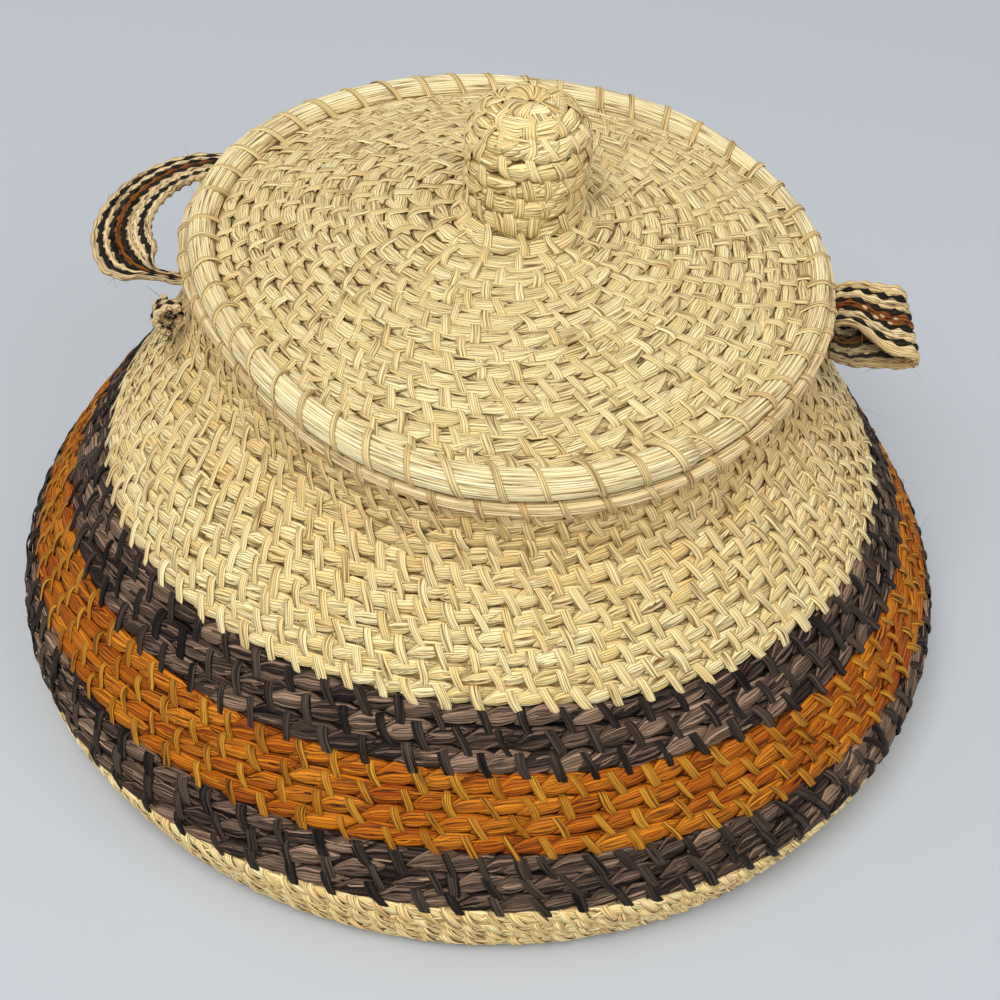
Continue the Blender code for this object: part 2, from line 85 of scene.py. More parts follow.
def linear(red: int, green: int, blue: int) -> Triple:
    """Turns a colour of 0 to 255 into the linear values that a shader takes."""
    shares = [channel / 255 for channel in (red, green, blue)]
    return tuple(s / 12.92 if s <= 0.04045 else ((s + 0.055) / 1.055) ** 2.4 for s in shares)


def joined(*parts: Array | float) -> Array:
    """Values side by side in a new last axis."""
    return np.stack(np.broadcast_arrays(*parts), axis=-1)


def polar(angle: Array, away: Array, height: Array, shift: Array | float = 0.0) -> Array:
    """Points at an angle round the axis, a distance away from it and a height, shifted along X."""
    return joined(np.cos(angle) * away + shift, np.sin(angle) * away, height)


def ring(corners: int) -> Array:
    """The angles of a section's corners, in one row."""
    return (np.arange(corners) * TAU / corners)[None, :]


def unit(vectors: Array) -> Array:
    """Vectors brought to length one."""
    return vectors / np.linalg.norm(vectors, axis=-1, keepdims=True)


def swept(centre: Array, across: Array, through: Array, wide: Array, deep: Array) -> Array:
    """Sweeps a section along a path.

    Args:
        centre: The path's points.
        across: The section's direction across, at each point or at all.
        through: Its direction through, at each point or at all.
        wide: How far each corner lies across, as rings x corners.
        deep: How far each corner lies through, as rings x corners.

    Returns:
        The points, as rings x corners x 3.
    """
    sections = across[:, None, :] * wide[:, :, None] + through[:, None, :] * deep[:, :, None]
    return centre[:, None, :] + sections


def varied(rng: Rng, amounts: tuple[float, ...], count: int) -> Array:
    """Random differences of the given amounts for each copy, none past two spreads."""
    return rng.normal(size=(len(amounts), count, 1)).clip(-2, 2) * np.array(amounts)[:, None, None]


def strands(rng: Rng, size: int | tuple[int, ...], along: Array, across: Array) -> Array:
    """Places along and across strands, each strand from its own start in the fibre pattern."""
    return joined(along, across) + rng.uniform(0, PATTERN_REACH, size=size)


def crowned(up: Array) -> Array:
    """How open a strip's points lie, which paints shade on its edges: all of its crown, and less of its edges."""
    return np.minimum(1.0, up + 0.85)


# Materials


class NodeSheet:
    """Adds nodes to a tree and wires them."""

    def __init__(self, tree: bpy.types.NodeTree) -> None:
        """Keeps the tree that the nodes go into."""
        self.tree = tree

    def add(self, kind: str, inputs: dict | None = None, **settings: object) -> bpy.types.Node:
        """Adds a node.

        Args:
            kind: The node's type.
            inputs: A value or a socket for each input, by its name or number.
            settings: The node's own settings.

        Returns:
            The new node.
        """
        node = self.tree.nodes.new(kind)
        for name, value in settings.items():
            setattr(node, name, value)
        for key, value in (inputs or {}).items():
            if isinstance(value, Socket):
                self.tree.links.new(value, node.inputs[key])
            else:
                node.inputs[key].default_value = value
        return node

    def math(self, operation: str, first: object, second: object) -> Socket:
        """Adds a Math node and returns its output."""
        return self.add("ShaderNodeMath", {0: first, 1: second}, operation=operation).outputs[0]

    def times(self, first: object, second: object) -> Socket:
        """Adds a Math node that multiplies and returns its output."""
        return self.math("MULTIPLY", first, second)

    def remap(self, value: object, low: float, high: float, to_low: float, to_high: float) -> Socket:
        """Adds a clamped Map Range node and returns its output."""
        inputs = {"Value": value, "From Min": low, "From Max": high, "To Min": to_low, "To Max": to_high}
        return self.add("ShaderNodeMapRange", inputs).outputs[0]

    def mix(self, share: object, first: object, second: object) -> Socket:
        """Adds a colour Mix node and returns its output."""
        return self.add("ShaderNodeMix", {0: share, 6: first, 7: second}, data_type="RGBA").outputs[2]

    def stretch(self, vector: object, scale: Triple) -> Socket:
        """Adds a Mapping node that scales a vector."""
        return self.add("ShaderNodeMapping", {"Vector": vector, "Scale": scale}).outputs[0]

    def straws(self, vector: object, scale: Triple) -> tuple[Socket, Socket]:
        """Adds long cells, one for each straw.

        Args:
            vector: The place along and across the strand.
            scale: The cells in each unit along and across.

        Returns:
            The distance to the cell's edge, and the cell's own value.
        """
        inputs = {"Vector": self.stretch(vector, scale), "Scale": 1.0, "Randomness": 0.9}
        edge = self.add("ShaderNodeTexVoronoi", inputs, voronoi_dimensions="2D", feature="DISTANCE_TO_EDGE")
        cell = self.add("ShaderNodeTexVoronoi", inputs, voronoi_dimensions="2D", feature="F1")
        own = self.add("ShaderNodeSeparateColor", {0: cell.outputs["Color"]}).outputs[0]
        return edge.outputs["Distance"], own

    def noise(self, vector: object, scale: Triple, detail: float) -> Socket:
        """Adds a stretched noise.

        Args:
            vector: The place that it is read at.
            scale: Its grains in each unit along and across.
            detail: How fine its detail goes.

        Returns:
            The noise's value.
        """
        stretched = self.stretch(vector, scale)
        inputs = {"Vector": stretched, "Scale": 1.0, "Detail": detail, "Roughness": 0.6}
        return self.add("ShaderNodeTexNoise", inputs).outputs[0]


class FibreGroup:
    """The shader group of split straw and yarn: fibres along the strand, creases between them, and painted shade
    in hollows and under the rims.
    """

    INPUTS = ("Light", "Dark", "Crease", "Shade")
    OUTPUTS = (("Color", "NodeSocketColor"), ("Roughness", "NodeSocketFloat"), ("Height", "NodeSocketFloat"))
    STRAWS = (0.022, 1.25, 1.0)
    FIBRES = (0.14, 4.4, 1.0)
    PATCHES = (0.12, 0.8, 1.0)
    FIBRE_SHARE = 0.75
    STRAW_SHARE = 0.40
    TONE_SHARE = 0.30
    SHADE_SHARE = 0.85
    LINE_HEIGHT = 0.7
    FIBRE_HEIGHT = 0.5
    LIGHT = (0.42, 1.05, 0.0, 1.0)
    LINE = (0.015, 0.15, 0.0, 1.0)
    LINE_STRENGTH = (0.38, 0.58, 0.55, 1.0)
    OPEN_FACE = (0.28, 0.66, 0.0, 1.0)
    BETWEEN = (0.30, 0.40, 0.45, 1.0)
    ROUGHNESS = (0.3, 0.7, 0.80, 0.56)

    def __init__(self) -> None:
        """Builds the group once for all finishes."""
        self.tree = bpy.data.node_groups.new("strand_fibres", "ShaderNodeTree")
        for name in self.INPUTS:
            self.tree.interface.new_socket(name, in_out="INPUT", socket_type="NodeSocketColor")
        self.tree.interface.new_socket("Gain", in_out="INPUT", socket_type="NodeSocketFloat")
        for name, kind in self.OUTPUTS:
            self.tree.interface.new_socket(name, in_out="OUTPUT", socket_type=kind)
        self.wire()

    def wire(self) -> None:
        """Wires straws, fine fibres, dark lines between straws, creases and shade together: the crease colour is
        also painted shade where points lie hidden, and the shade colour is painted shade under the rims as well
        as random fading.
        """
        sheet = NodeSheet(self.tree)
        given = sheet.add("NodeGroupInput").outputs
        strand = sheet.add("ShaderNodeUVMap", uv_map="strand").outputs[0]
        tone = sheet.add("ShaderNodeAttribute", attribute_name="tone").outputs["Color"]
        tone = sheet.add("ShaderNodeSeparateColor", {0: tone}).outputs
        edge, straw = sheet.straws(strand, self.STRAWS)
        fine = sheet.noise(strand, self.FIBRES, 3.0)
        patches = sheet.noise(strand, self.PATCHES, 1.0)
        light = sheet.math("ADD", sheet.times(fine, self.FIBRE_SHARE), sheet.times(straw, self.STRAW_SHARE))
        light = sheet.math("ADD", light, sheet.times(tone[0], self.TONE_SHARE))
        light = sheet.math("POWER", sheet.remap(light, *self.LIGHT), given["Gain"])
        colour = sheet.mix(light, given["Dark"], given["Light"])
        # The shade channel mixes in painted shade under the rims, and random fading on the dyed bands.
        colour = sheet.mix(sheet.times(tone[2], self.SHADE_SHARE), colour, given["Shade"])
        line = sheet.remap(edge, *self.LINE)
        strength = sheet.remap(patches, *self.LINE_STRENGTH)
        line = sheet.math("SUBTRACT", 1.0, sheet.times(sheet.math("SUBTRACT", 1.0, line), strength))
        # Low openness paints the crease colour as shade on hidden sides and in hollows; lines and fine grain add
        # dark grooves between straws.
        open_face = sheet.remap(tone[1], *self.OPEN_FACE)
        between = sheet.remap(fine, *self.BETWEEN)
        open_face = sheet.times(sheet.times(open_face, between), line)
        colour = sheet.mix(open_face, given["Crease"], colour)
        result = sheet.add("NodeGroupOutput").inputs
        self.tree.links.new(colour, result["Color"])
        self.tree.links.new(sheet.remap(fine, *self.ROUGHNESS), result["Roughness"])
        height = sheet.math("ADD", sheet.times(line, self.LINE_HEIGHT), sheet.times(fine, self.FIBRE_HEIGHT))
        self.tree.links.new(height, result["Height"])


@dataclass(frozen=True)
class StrandFinish:
    """A finish of straw or yarn.

    Its colours are those of light and dark fibres, of creases, which is also painted shade in hollows, and of
    faded places, which is also painted shade under the rims, and a higher gain leaves fewer fibres light.
    """

    name: str
    light: Colour
    dark: Colour
    crease: Colour
    shade: Colour
    gain: float = 1.0
    gloss: float = 0.32
    bump: float = 0.6

    def make(self, group: FibreGroup) -> Material:
        """Makes the material.

        Args:
            group: The shared fibre group.

        Returns:
            The new material.
        """
        made = bpy.data.materials.new(self.name)
        made.use_nodes = True
        sheet = NodeSheet(made.node_tree)
        colours = (self.light, self.dark, self.crease, self.shade)
        inputs = {name: (*linear(*colour), 1.0) for name, colour in zip(FibreGroup.INPUTS, colours)}
        fibres = sheet.add("ShaderNodeGroup", inputs | {"Gain": self.gain}, node_tree=group.tree).outputs
        raised = {"Strength": self.bump, "Distance": BUMP_HEIGHT, "Height": fibres["Height"]}
        normal = sheet.add("ShaderNodeBump", raised).outputs[0]
        shader = made.node_tree.nodes["Principled BSDF"].inputs
        links = (("Base Color", fibres["Color"]), ("Roughness", fibres["Roughness"]), ("Normal", normal))
        for name, socket in links:
            made.node_tree.links.new(socket, shader[name])
        shader["Specular IOR Level"].default_value = self.gloss
        return made


# The crease colours also stand for painted shade in hollows. The shade colours are painted shade under the rims
# on the wall's straw and stitches and on the mouth's rim and its bindings, and random fading on the dyed bands.
NATURAL = StrandFinish(
    "natural_straw_bundle", (255, 241, 188), (240, 206, 130), (112, 74, 26), (226, 178, 104)
)
NATURAL_STITCH = StrandFinish(
    "natural_straw_stitch", (255, 238, 184), (236, 204, 134), (126, 90, 40), (220, 174, 102)
)
KNOB = StrandFinish(
    "golden_straw_bundle", (255, 240, 184), (238, 204, 134), (116, 78, 30), (200, 162, 104)
)
KNOB_STITCH = StrandFinish(
    "golden_straw_stitch", (254, 234, 176), (234, 202, 132), (122, 86, 40), (200, 162, 104)
)
LID = StrandFinish(
    "lid_straw_bundle", (248, 232, 180), (227, 200, 136), (106, 76, 34), (202, 174, 116)
)
LID_STITCH = StrandFinish(
    "lid_straw_stitch", (246, 228, 174), (227, 198, 134), (122, 90, 46), (202, 172, 114)
)
RIM = StrandFinish(
    "rim_straw_bundle", (254, 242, 198), (238, 216, 158), (150, 116, 66), (220, 184, 132)
)
RIM_BINDING = StrandFinish(
    "rim_straw_binding", (240, 216, 158), (212, 180, 118), (124, 90, 46), (200, 164, 112)
)
FOOT = StrandFinish(
    "foot_straw_bundle", (255, 238, 180), (246, 208, 134), (140, 96, 42), (224, 184, 116)
)
OCHRE = StrandFinish(
    "ochre_straw_bundle", (226, 134, 16), (152, 66, 3), (40, 12, 2), (208, 144, 44), gain=1.4, gloss=0.16
)
OCHRE_STITCH = StrandFinish(
    "ochre_straw_stitch", (220, 160, 48), (160, 94, 12), (60, 28, 5), (150, 84, 18), gain=1.2, gloss=0.16
)
DARK = StrandFinish(
    "dark_straw_bundle", (180, 144, 120), (33, 24, 22), (6, 4, 4), (176, 148, 112), gain=2.2, gloss=0.10
)
DARK_STITCH = StrandFinish(
    "dark_straw_stitch", (92, 76, 64), (24, 18, 16), (5, 4, 4), (96, 82, 68), gain=1.5, gloss=0.12
)
# Darker straw for the disc in the hollow under a button's swirl: painted shade.
HOLLOW_SHADE = StrandFinish(
    "straw_hollow_shade", (170, 134, 78), (132, 98, 50), (88, 60, 26), (120, 90, 46)
)
CREAM_YARN = StrandFinish(
    "cream_yarn", (246, 222, 172), (212, 180, 124), (96, 66, 34), (150, 130, 90)
)
BLACK_YARN = StrandFinish(
    "black_yarn", (46, 42, 34), (17, 15, 13), (5, 4, 4), (70, 62, 46), gain=1.0, gloss=0.10
)
RUST_YARN = StrandFinish(
    "rust_yarn", (170, 100, 34), (104, 56, 20), (42, 20, 8), (108, 76, 42), gain=1.0, gloss=0.14
)


# Shapes that are modelled once, and meshes that gather their copies


@dataclass(frozen=True)
class Shape:
    """A modelled shape: its points, and its faces as corner numbers and first corners."""

    points: Array
    corners: Array
    starts: Array

    @classmethod
    def take(cls, made: bpy.types.Object) -> "Shape":
        """Reads an object's shape and removes the object.

        Args:
            made: The modelled object.

        Returns:
            Its shape.
        """
        mesh = made.data
        points = np.empty(3 * len(mesh.vertices))
        corners = np.empty(len(mesh.loops), dtype=np.int64)
        starts = np.empty(len(mesh.polygons), dtype=np.int64)
        mesh.vertices.foreach_get("co", points)
        mesh.loops.foreach_get("vertex_index", corners)
        mesh.polygons.foreach_get("loop_start", starts)
        bpy.data.objects.remove(made)
        return cls(points.reshape(-1, 3), corners, starts)

    @classmethod
    def tube(cls, rings: int, sides: int, closed: bool) -> "Shape":
        """The faces of a tube of rings, joined round or capped at both ends.

        Args:
            rings: How many rings it has.
            sides: How many corners each ring has.
            closed: Whether the last ring joins the first.

        Returns:
            The tube's faces, with its points left at the origin.
        """
        ring = np.arange(rings if closed else rings - 1)[:, None]
        side = np.arange(sides)[None, :]
        ahead = (ring + 1) % rings
        beside = (side + 1) % sides
        quads = [ring * sides + side, ring * sides + beside, ahead * sides + beside, ahead * sides + side]
        corners = np.stack(quads, axis=-1).reshape(-1)
        starts = np.arange(0, len(corners), 4)
        if not closed:
            caps = [np.arange(sides)[::-1], np.arange(sides) + (rings - 1) * sides]
            starts = np.concatenate([starts, [len(corners), len(corners) + sides]])
            corners = np.concatenate([corners, *caps])
        return cls(np.zeros((rings * sides, 3)), corners, starts)

    def axes(self) -> tuple[Array, ...]:
        """Each point's place along, across and up, in rows for many copies."""
        return tuple(self.points[None, :, axis] for axis in range(3))

    def spread(self) -> Array:
        """Each point's place across its own ring, from -1 to 1.

        Returns:
            The places, one for each point.
        """
        rings = np.round(self.points[:, 0], 3)
        widest = np.array([np.abs(self.points[rings == ring, 1]).max() for ring in rings])
        return self.points[:, 1] / np.maximum(widest, 1e-6)

    def reversed(self) -> "Shape":
        """The same shape with its faces turned over.

        Returns:
            The turned shape.
        """
        ends = np.append(self.starts[1:], len(self.corners))
        parts = [self.corners[start:end][::-1] for start, end in zip(self.starts, ends)]
        return Shape(self.points, np.concatenate(parts), self.starts)


class Batch:
    """Copies of shapes that are gathered into one piece."""

    def __init__(self) -> None:
        """Starts empty."""
        self.parts: list[tuple[Array, Array, Array, Array, Array, int]] = []

    def add(self, shape: Shape, points: Array, strand: Array, tone: Array, material: int = 0) -> None:
        """Adds copies of a shape.

        Args:
            shape: The shape whose faces are copied.
            points: Each copy's points, as copies x points x 3.
            strand: Each point's place along and across its strand, in millimetres.
            tone: Each point's tone: its strand's own lightness, how open it lies, which sets painted shade in
                hollows, and its shade, painted shade and random fading together.
            material: The number of the material.
        """
        self.parts.append((points, strand, tone, shape.corners, shape.starts, material))

    def add_tube(
        self, points: Array, strand: Array, tone: Array | Triple, material: int = 0, closed: bool = False,
        over: bool = False,
    ) -> None:
        """Adds one tube.

        Args:
            points: Its points, as rings x corners x 3.
            strand: Each point's place along and across its strand, in millimetres.
            tone: Each point's tone, or one tone for all of them.
            material: The number of the material.
            closed: Whether the last ring joins the first.
            over: Whether its faces are turned over.
        """
        shape = Shape.tube(*points.shape[:2], closed)
        tone = np.broadcast_to(tone, points.shape).reshape(1, -1, 3)
        faces = shape.reversed() if over else shape
        self.add(faces, points.reshape(1, -1, 3), strand.reshape(1, -1, 2), tone, material)

    def piece(self, name: str, materials: list[Material]) -> bpy.types.Object:
        """Makes the piece.

        Args:
            name: The piece's name.
            materials: Its materials in their order.

        Returns:
            The new object.
        """
        points, corners, starts, strand, tone, chosen = [], [], [], [], [], []
        near = 0
        first = 0
        for part_points, part_strand, part_tone, part_corners, part_starts, material in self.parts:
            copies, size = part_points.shape[:2]
            shift = near + size * np.arange(copies)[:, None]
            corners.append((shift + part_corners[None, :]).reshape(-1))
            jump = first + len(part_corners) * np.arange(copies)[:, None]
            starts.append((jump + part_starts[None, :]).reshape(-1))
            points.append(part_points.reshape(-1, 3))
            strand.append(np.broadcast_to(part_strand, (copies, size, 2)).reshape(-1, 2))
            tone.append(np.broadcast_to(part_tone, (copies, size, 3)).reshape(-1, 3))
            chosen.append(np.full(copies * len(part_starts), material))
            near += copies * size
            first += copies * len(part_corners)
        corners = np.concatenate(corners)
        tone = np.concatenate(tone)
        mesh = bpy.data.meshes.new(name)
        mesh.vertices.add(near)
        mesh.vertices.foreach_set("co", np.concatenate(points).reshape(-1))
        mesh.loops.add(first)
        mesh.loops.foreach_set("vertex_index", corners)
        mesh.polygons.add(sum(map(len, starts)))
        mesh.polygons.foreach_set("loop_start", np.concatenate(starts))
        mesh.polygons.foreach_set("material_index", np.concatenate(chosen))
        mesh.update(calc_edges=True)
        mesh.validate()
        layer = mesh.uv_layers.new(name="strand")
        layer.data.foreach_set("uv", np.concatenate(strand)[corners].reshape(-1))
        colour = mesh.attributes.new("tone", "FLOAT_COLOR", "POINT")
        colour.data.foreach_set("color", np.column_stack((tone, np.ones(len(tone)))).reshape(-1))
        mesh.shade_smooth()
        for material in materials:
            mesh.materials.append(material)
        made = bpy.data.objects.new(name, mesh)
        bpy.context.collection.objects.link(made)
        return made


def select(made: bpy.types.Object, chosen: Callable[[Vector], bool]) -> None:
    """Selects vertices in edit mode.

    Args:
        made: The object that is open in edit mode.
        chosen: Whether the vertex at a place is chosen.
    """
    bpy.ops.mesh.select_all(action="DESELECT")
    bpy.ops.object.mode_set(mode="OBJECT")
    for vertex in made.data.vertices:
        vertex.select = chosen(vertex.co)
    bpy.ops.object.mode_set(mode="EDIT")


def select_edges(made: bpy.types.Object, chosen: Callable[[Vector, Vector], bool]) -> None:
    """Selects edges in edit mode.

    Args:
        made: The object that is open in edit mode.
        chosen: Whether the edge between two places is chosen.
    """
    bpy.ops.mesh.select_mode(type="EDGE")
    bpy.ops.mesh.select_all(action="DESELECT")
    bpy.ops.object.mode_set(mode="OBJECT")
    places = [vertex.co for vertex in made.data.vertices]
    for edge in made.data.edges:
        edge.select = chosen(places[edge.vertices[0]], places[edge.vertices[1]])
    bpy.ops.object.mode_set(mode="EDIT")


def start_editing() -> bpy.types.Object:
    """Opens edit mode on the primitive that was just added.

    Returns:
        The primitive's object.
    """
    made = bpy.context.object
    bpy.ops.object.mode_set(mode="EDIT")
    bpy.ops.mesh.select_mode(type="VERT")
    return made


def model_packet(sides: int, rings: int) -> Shape:
    """Models a packet of straw: a leaf pointed at both ends, one long and one wide.

    Args:
        sides: The corners of its section.
        rings: The bands of faces along it.

    Returns:
        The packet's shape, along X, with its open face towards +Z.
    """
    bpy.ops.object.select_all(action="DESELECT")
    bpy.ops.mesh.primitive_uv_sphere_add(segments=sides, ring_count=rings, radius=0.5)
    made = start_editing()
    bpy.ops.mesh.select_all(action="SELECT")
    bpy.ops.transform.rotate(value=math.pi / 2, orient_axis="Y", center_override=(0, 0, 0))
    # The rings beside its tips
    select(made, lambda place: 0.40 < abs(place.x) < 0.48)
    bpy.ops.transform.resize(value=(1.0, 0.80, 1.1), center_override=(0, 0, 0))
    # The shoulders of its open face
    select(made, lambda place: place.z > 0.1 and abs(place.y) > 0.1)
    bpy.ops.transform.resize(value=(1.0, 1.20, 1.20), center_override=(0, 0, 0))
    # Its hidden back
    select(made, lambda place: place.z < -0.01)
    bpy.ops.transform.resize(value=(1.0, 1.0, 0.4), center_override=(0, 0, 0))
    bpy.ops.object.mode_set(mode="OBJECT")
    return Shape.take(made)


def model_strip(lengths: int, widths: int) -> Shape:
    """Models a split strip: flat below, crowned above, one long and one wide.

    Args:
        lengths: The faces along it.
        widths: The faces across its upper side.

    Returns:
        The strip's shape, along X, with its upper side towards +Z.
    """
    bpy.ops.object.select_all(action="DESELECT")
    bpy.ops.mesh.primitive_cube_add(size=1.0)
    made = start_editing()
    select_edges(made, lambda one, two: abs(one.x - two.x) > 0.5)
    bpy.ops.mesh.subdivide(number_cuts=lengths - 1)
    select_edges(made, lambda one, two: abs(one.y - two.y) > 0.5 and one.z > 0 and two.z > 0)
    bpy.ops.mesh.subdivide(number_cuts=widths - 1)
    bpy.ops.mesh.select_mode(type="VERT")
    select(made, lambda place: place.z > 0 and abs(place.y) > 0.49)
    bpy.ops.transform.translate(value=(0.0, 0.0, -0.45))
    bpy.ops.object.mode_set(mode="OBJECT")
    return Shape.take(made)


# The turned outlines and the coils that wind along them


@dataclass
class Outline:
    """A turned outline of straight runs and fillet arcs, read by the length along it."""

    corners: tuple[Triple, ...]
    side: int
    spare: float = 0.03
    table: Array = field(init=False)

    SAMPLE = 0.0002

    def __post_init__(self) -> None:
        """Samples the outline: length, radius, height, and the crest side's normal."""
        rows = []
        near = 0.0
        start = np.array(self.corners[0][:2])
        for before, corner, after in zip(self.corners, self.corners[1:], self.corners[2:]):
            here = np.array(corner[:2])
            into = self.direction(np.array(before[:2]), here)
            out_of = self.direction(here, np.array(after[:2]))
            turn = math.atan2(into[0] * out_of[1] - into[1] * out_of[0], float(into @ out_of))
            setback = corner[2] * math.tan(abs(turn) / 2)
            arc_start = here - into * setback
            near = self.add_run(rows, near, start, into, float(np.linalg.norm(arc_start - start)), 0.0)
            near = self.add_run(rows, near, arc_start, into, corner[2] * abs(turn), turn)
            start = here + out_of * setback
        last = np.array(self.corners[-1][:2])
        size = float(np.linalg.norm(last - start))
        self.length = near + size
        self.add_run(rows, near, start, self.direction(start, last), size + self.spare, 0.0)
        self.table = np.concatenate(rows).T

    @staticmethod
    def direction(here: Array, there: Array) -> Array:
        """The unit direction from one point to another."""
        return (there - here) / np.linalg.norm(there - here)

    def add_run(self, rows: list, near: float, start: Array, into: Array, size: float, turn: float) -> float:
        """Samples one run.

        Args:
            rows: The table's rows, which it adds to.
            near: The length at its start.
            start: Its first point.
            into: Its direction at the start.
            size: Its length.
            turn: The angle that it turns through, 0 where it is straight.

        Returns:
            The length at its end.
        """
        along = np.linspace(0.0, size, max(int(size / self.SAMPLE), 3))[:, None]
        if turn:
            left = np.array((-into[1], into[0])) * math.copysign(1, turn)
            swing = abs(turn) * along / size
            radius = size / abs(turn)
            ahead = into * np.cos(swing) + left * np.sin(swing)
            points = start + into * radius * np.sin(swing) + left * radius * (1 - np.cos(swing))
        else:
            ahead = np.broadcast_to(into, (len(along), 2))
            points = start + into * along
        normals = np.column_stack((ahead[:, 1], -ahead[:, 0])) * self.side
        rows.append(np.column_stack((near + along, points, normals))[:-1])
        return near + size

    def read(self, length: Array) -> tuple[Array, Array, Array, Array]:
        """The radius, height, and normal's two parts at lengths along the outline."""
        return tuple(np.interp(length, self.table[0], column) for column in self.table[1:])


def no_lean(length: Array) -> Array:
    """The sideways offset of rows that have none."""
    return np.zeros_like(length)


def no_dip(length: Array, angle: Array) -> Array:
    """The dip of rows that have none."""
    return np.zeros_like(length)


def no_limit(radius: Array, height: Array) -> tuple[Array, Array]:
    """Leaves places as they are."""
    return radius, height


@dataclass
class Winding:
    """Rows of sewn coil that wind along an outline, each turn one row further on."""

    outline: Outline
    marks: tuple[tuple[float, float], ...]
    seam: float
    way: int
    lean: Callable[[Array], Array] = no_lean
    dip: Callable[[Array, Array], Array] = no_dip
    limit: Callable[[Array, Array], tuple[Array, Array]] = no_limit
    wall: float = 0.0050

    LEAN_SHARE = 0.72
    CATCH_UP = 0.35

    def length_at(self, row: Array) -> Array:
        """The length along the outline at rows counted from the start of the coil."""
        return np.interp(row, [mark[0] for mark in self.marks], [mark[1] for mark in self.marks])

    def place(self, turn: Array, across: Array, rise: Array, side: Side = Side.OUTSIDE) -> Array:
        """Points of the coil.

        Args:
            turn: How many turns along the coil.
            across: How far across its row, from 0 at the older seam to 1.
            rise: The height above the crests of the side.
            side: The side of the coil.

        Returns:
            The points, with x, y and z last.
        """
        angle = self.seam + self.way * TAU * turn
        length = self.length_at(turn + across)
        length = length + self.dip(length, angle)
        radius, height, out_radius, out_height = self.outline.read(length)
        if side is Side.INSIDE:
            rise = -self.wall - rise
        radius = radius + out_radius * rise
        height = height + out_height * rise
        radius, height = self.limit(radius, height)
        return polar(angle, radius, height, self.lean(length))

    def radius_at(self, turn: Array) -> Array:
        """The radius at the middle of the row, a number of turns along."""
        return np.maximum(self.outline.read(self.length_at(turn + 0.5))[0], 0.002)

    def after(self, turn: Array, ahead: Array) -> Array:
        """The turns that lie a distance further along the coil."""
        return turn + ahead / (TAU * self.radius_at(turn))

    def spaced(self, first: float, last: float, sewing: "Sewing", rng: Rng) -> Array:
        """Turns at which stitches lie, each row's set against those of the row before.

        Args:
            first: The turn of the first one.
            last: The turn that they stay under.
            sewing: The distance from one to the next, and how the rows are set against each other.
            rng: The source of the differences.

        Returns:
            The turns.
        """
        turns: list[float] = []
        turn = first
        before = 0
        while turn < last:
            girth = TAU * float(self.radius_at(turn))
            if turn - 1 > first:
                while before + 1 < len(turns) and turns[before + 1] < turn - 1:
                    before += 1
                apart = (turn - 1 - turns[before]) * girth - self.LEAN_SHARE * sewing.stitch_lean
                off = (sewing.stagger - apart / sewing.gap + 0.5) % 1.0 - 0.5
                turn += self.CATCH_UP * off * sewing.gap / girth
            turns.append(turn)
            turn += sewing.gap * (1 + sewing.loose * float(np.clip(rng.normal(), -2, 2))) / girth
        return np.array(turns)


@dataclass
class Sewing:
    """How a length of coil is sewn: the sizes of its packets of straw and of its stitches."""

    gap: float = 0.0094
    loose: float = 0.10
    stagger: float = 0.45
    packet_reach: float = 1.50
    packet_width: float = 1.0
    packet_rise: float = 0.0001
    packet_step: float = 0.0009
    packet_depth: float = 0.0019
    stitch_width: float = 0.0028
    stitch_lean: float = 0.0034
    stitch_sway: float = 0.0009
    stitch_rise: float = 0.0004
    stitch_top: float = 1.03
    stitch_foot: float = -0.42
    braided: bool = False
    faded: float = 0.0
    strays: float = 0.8


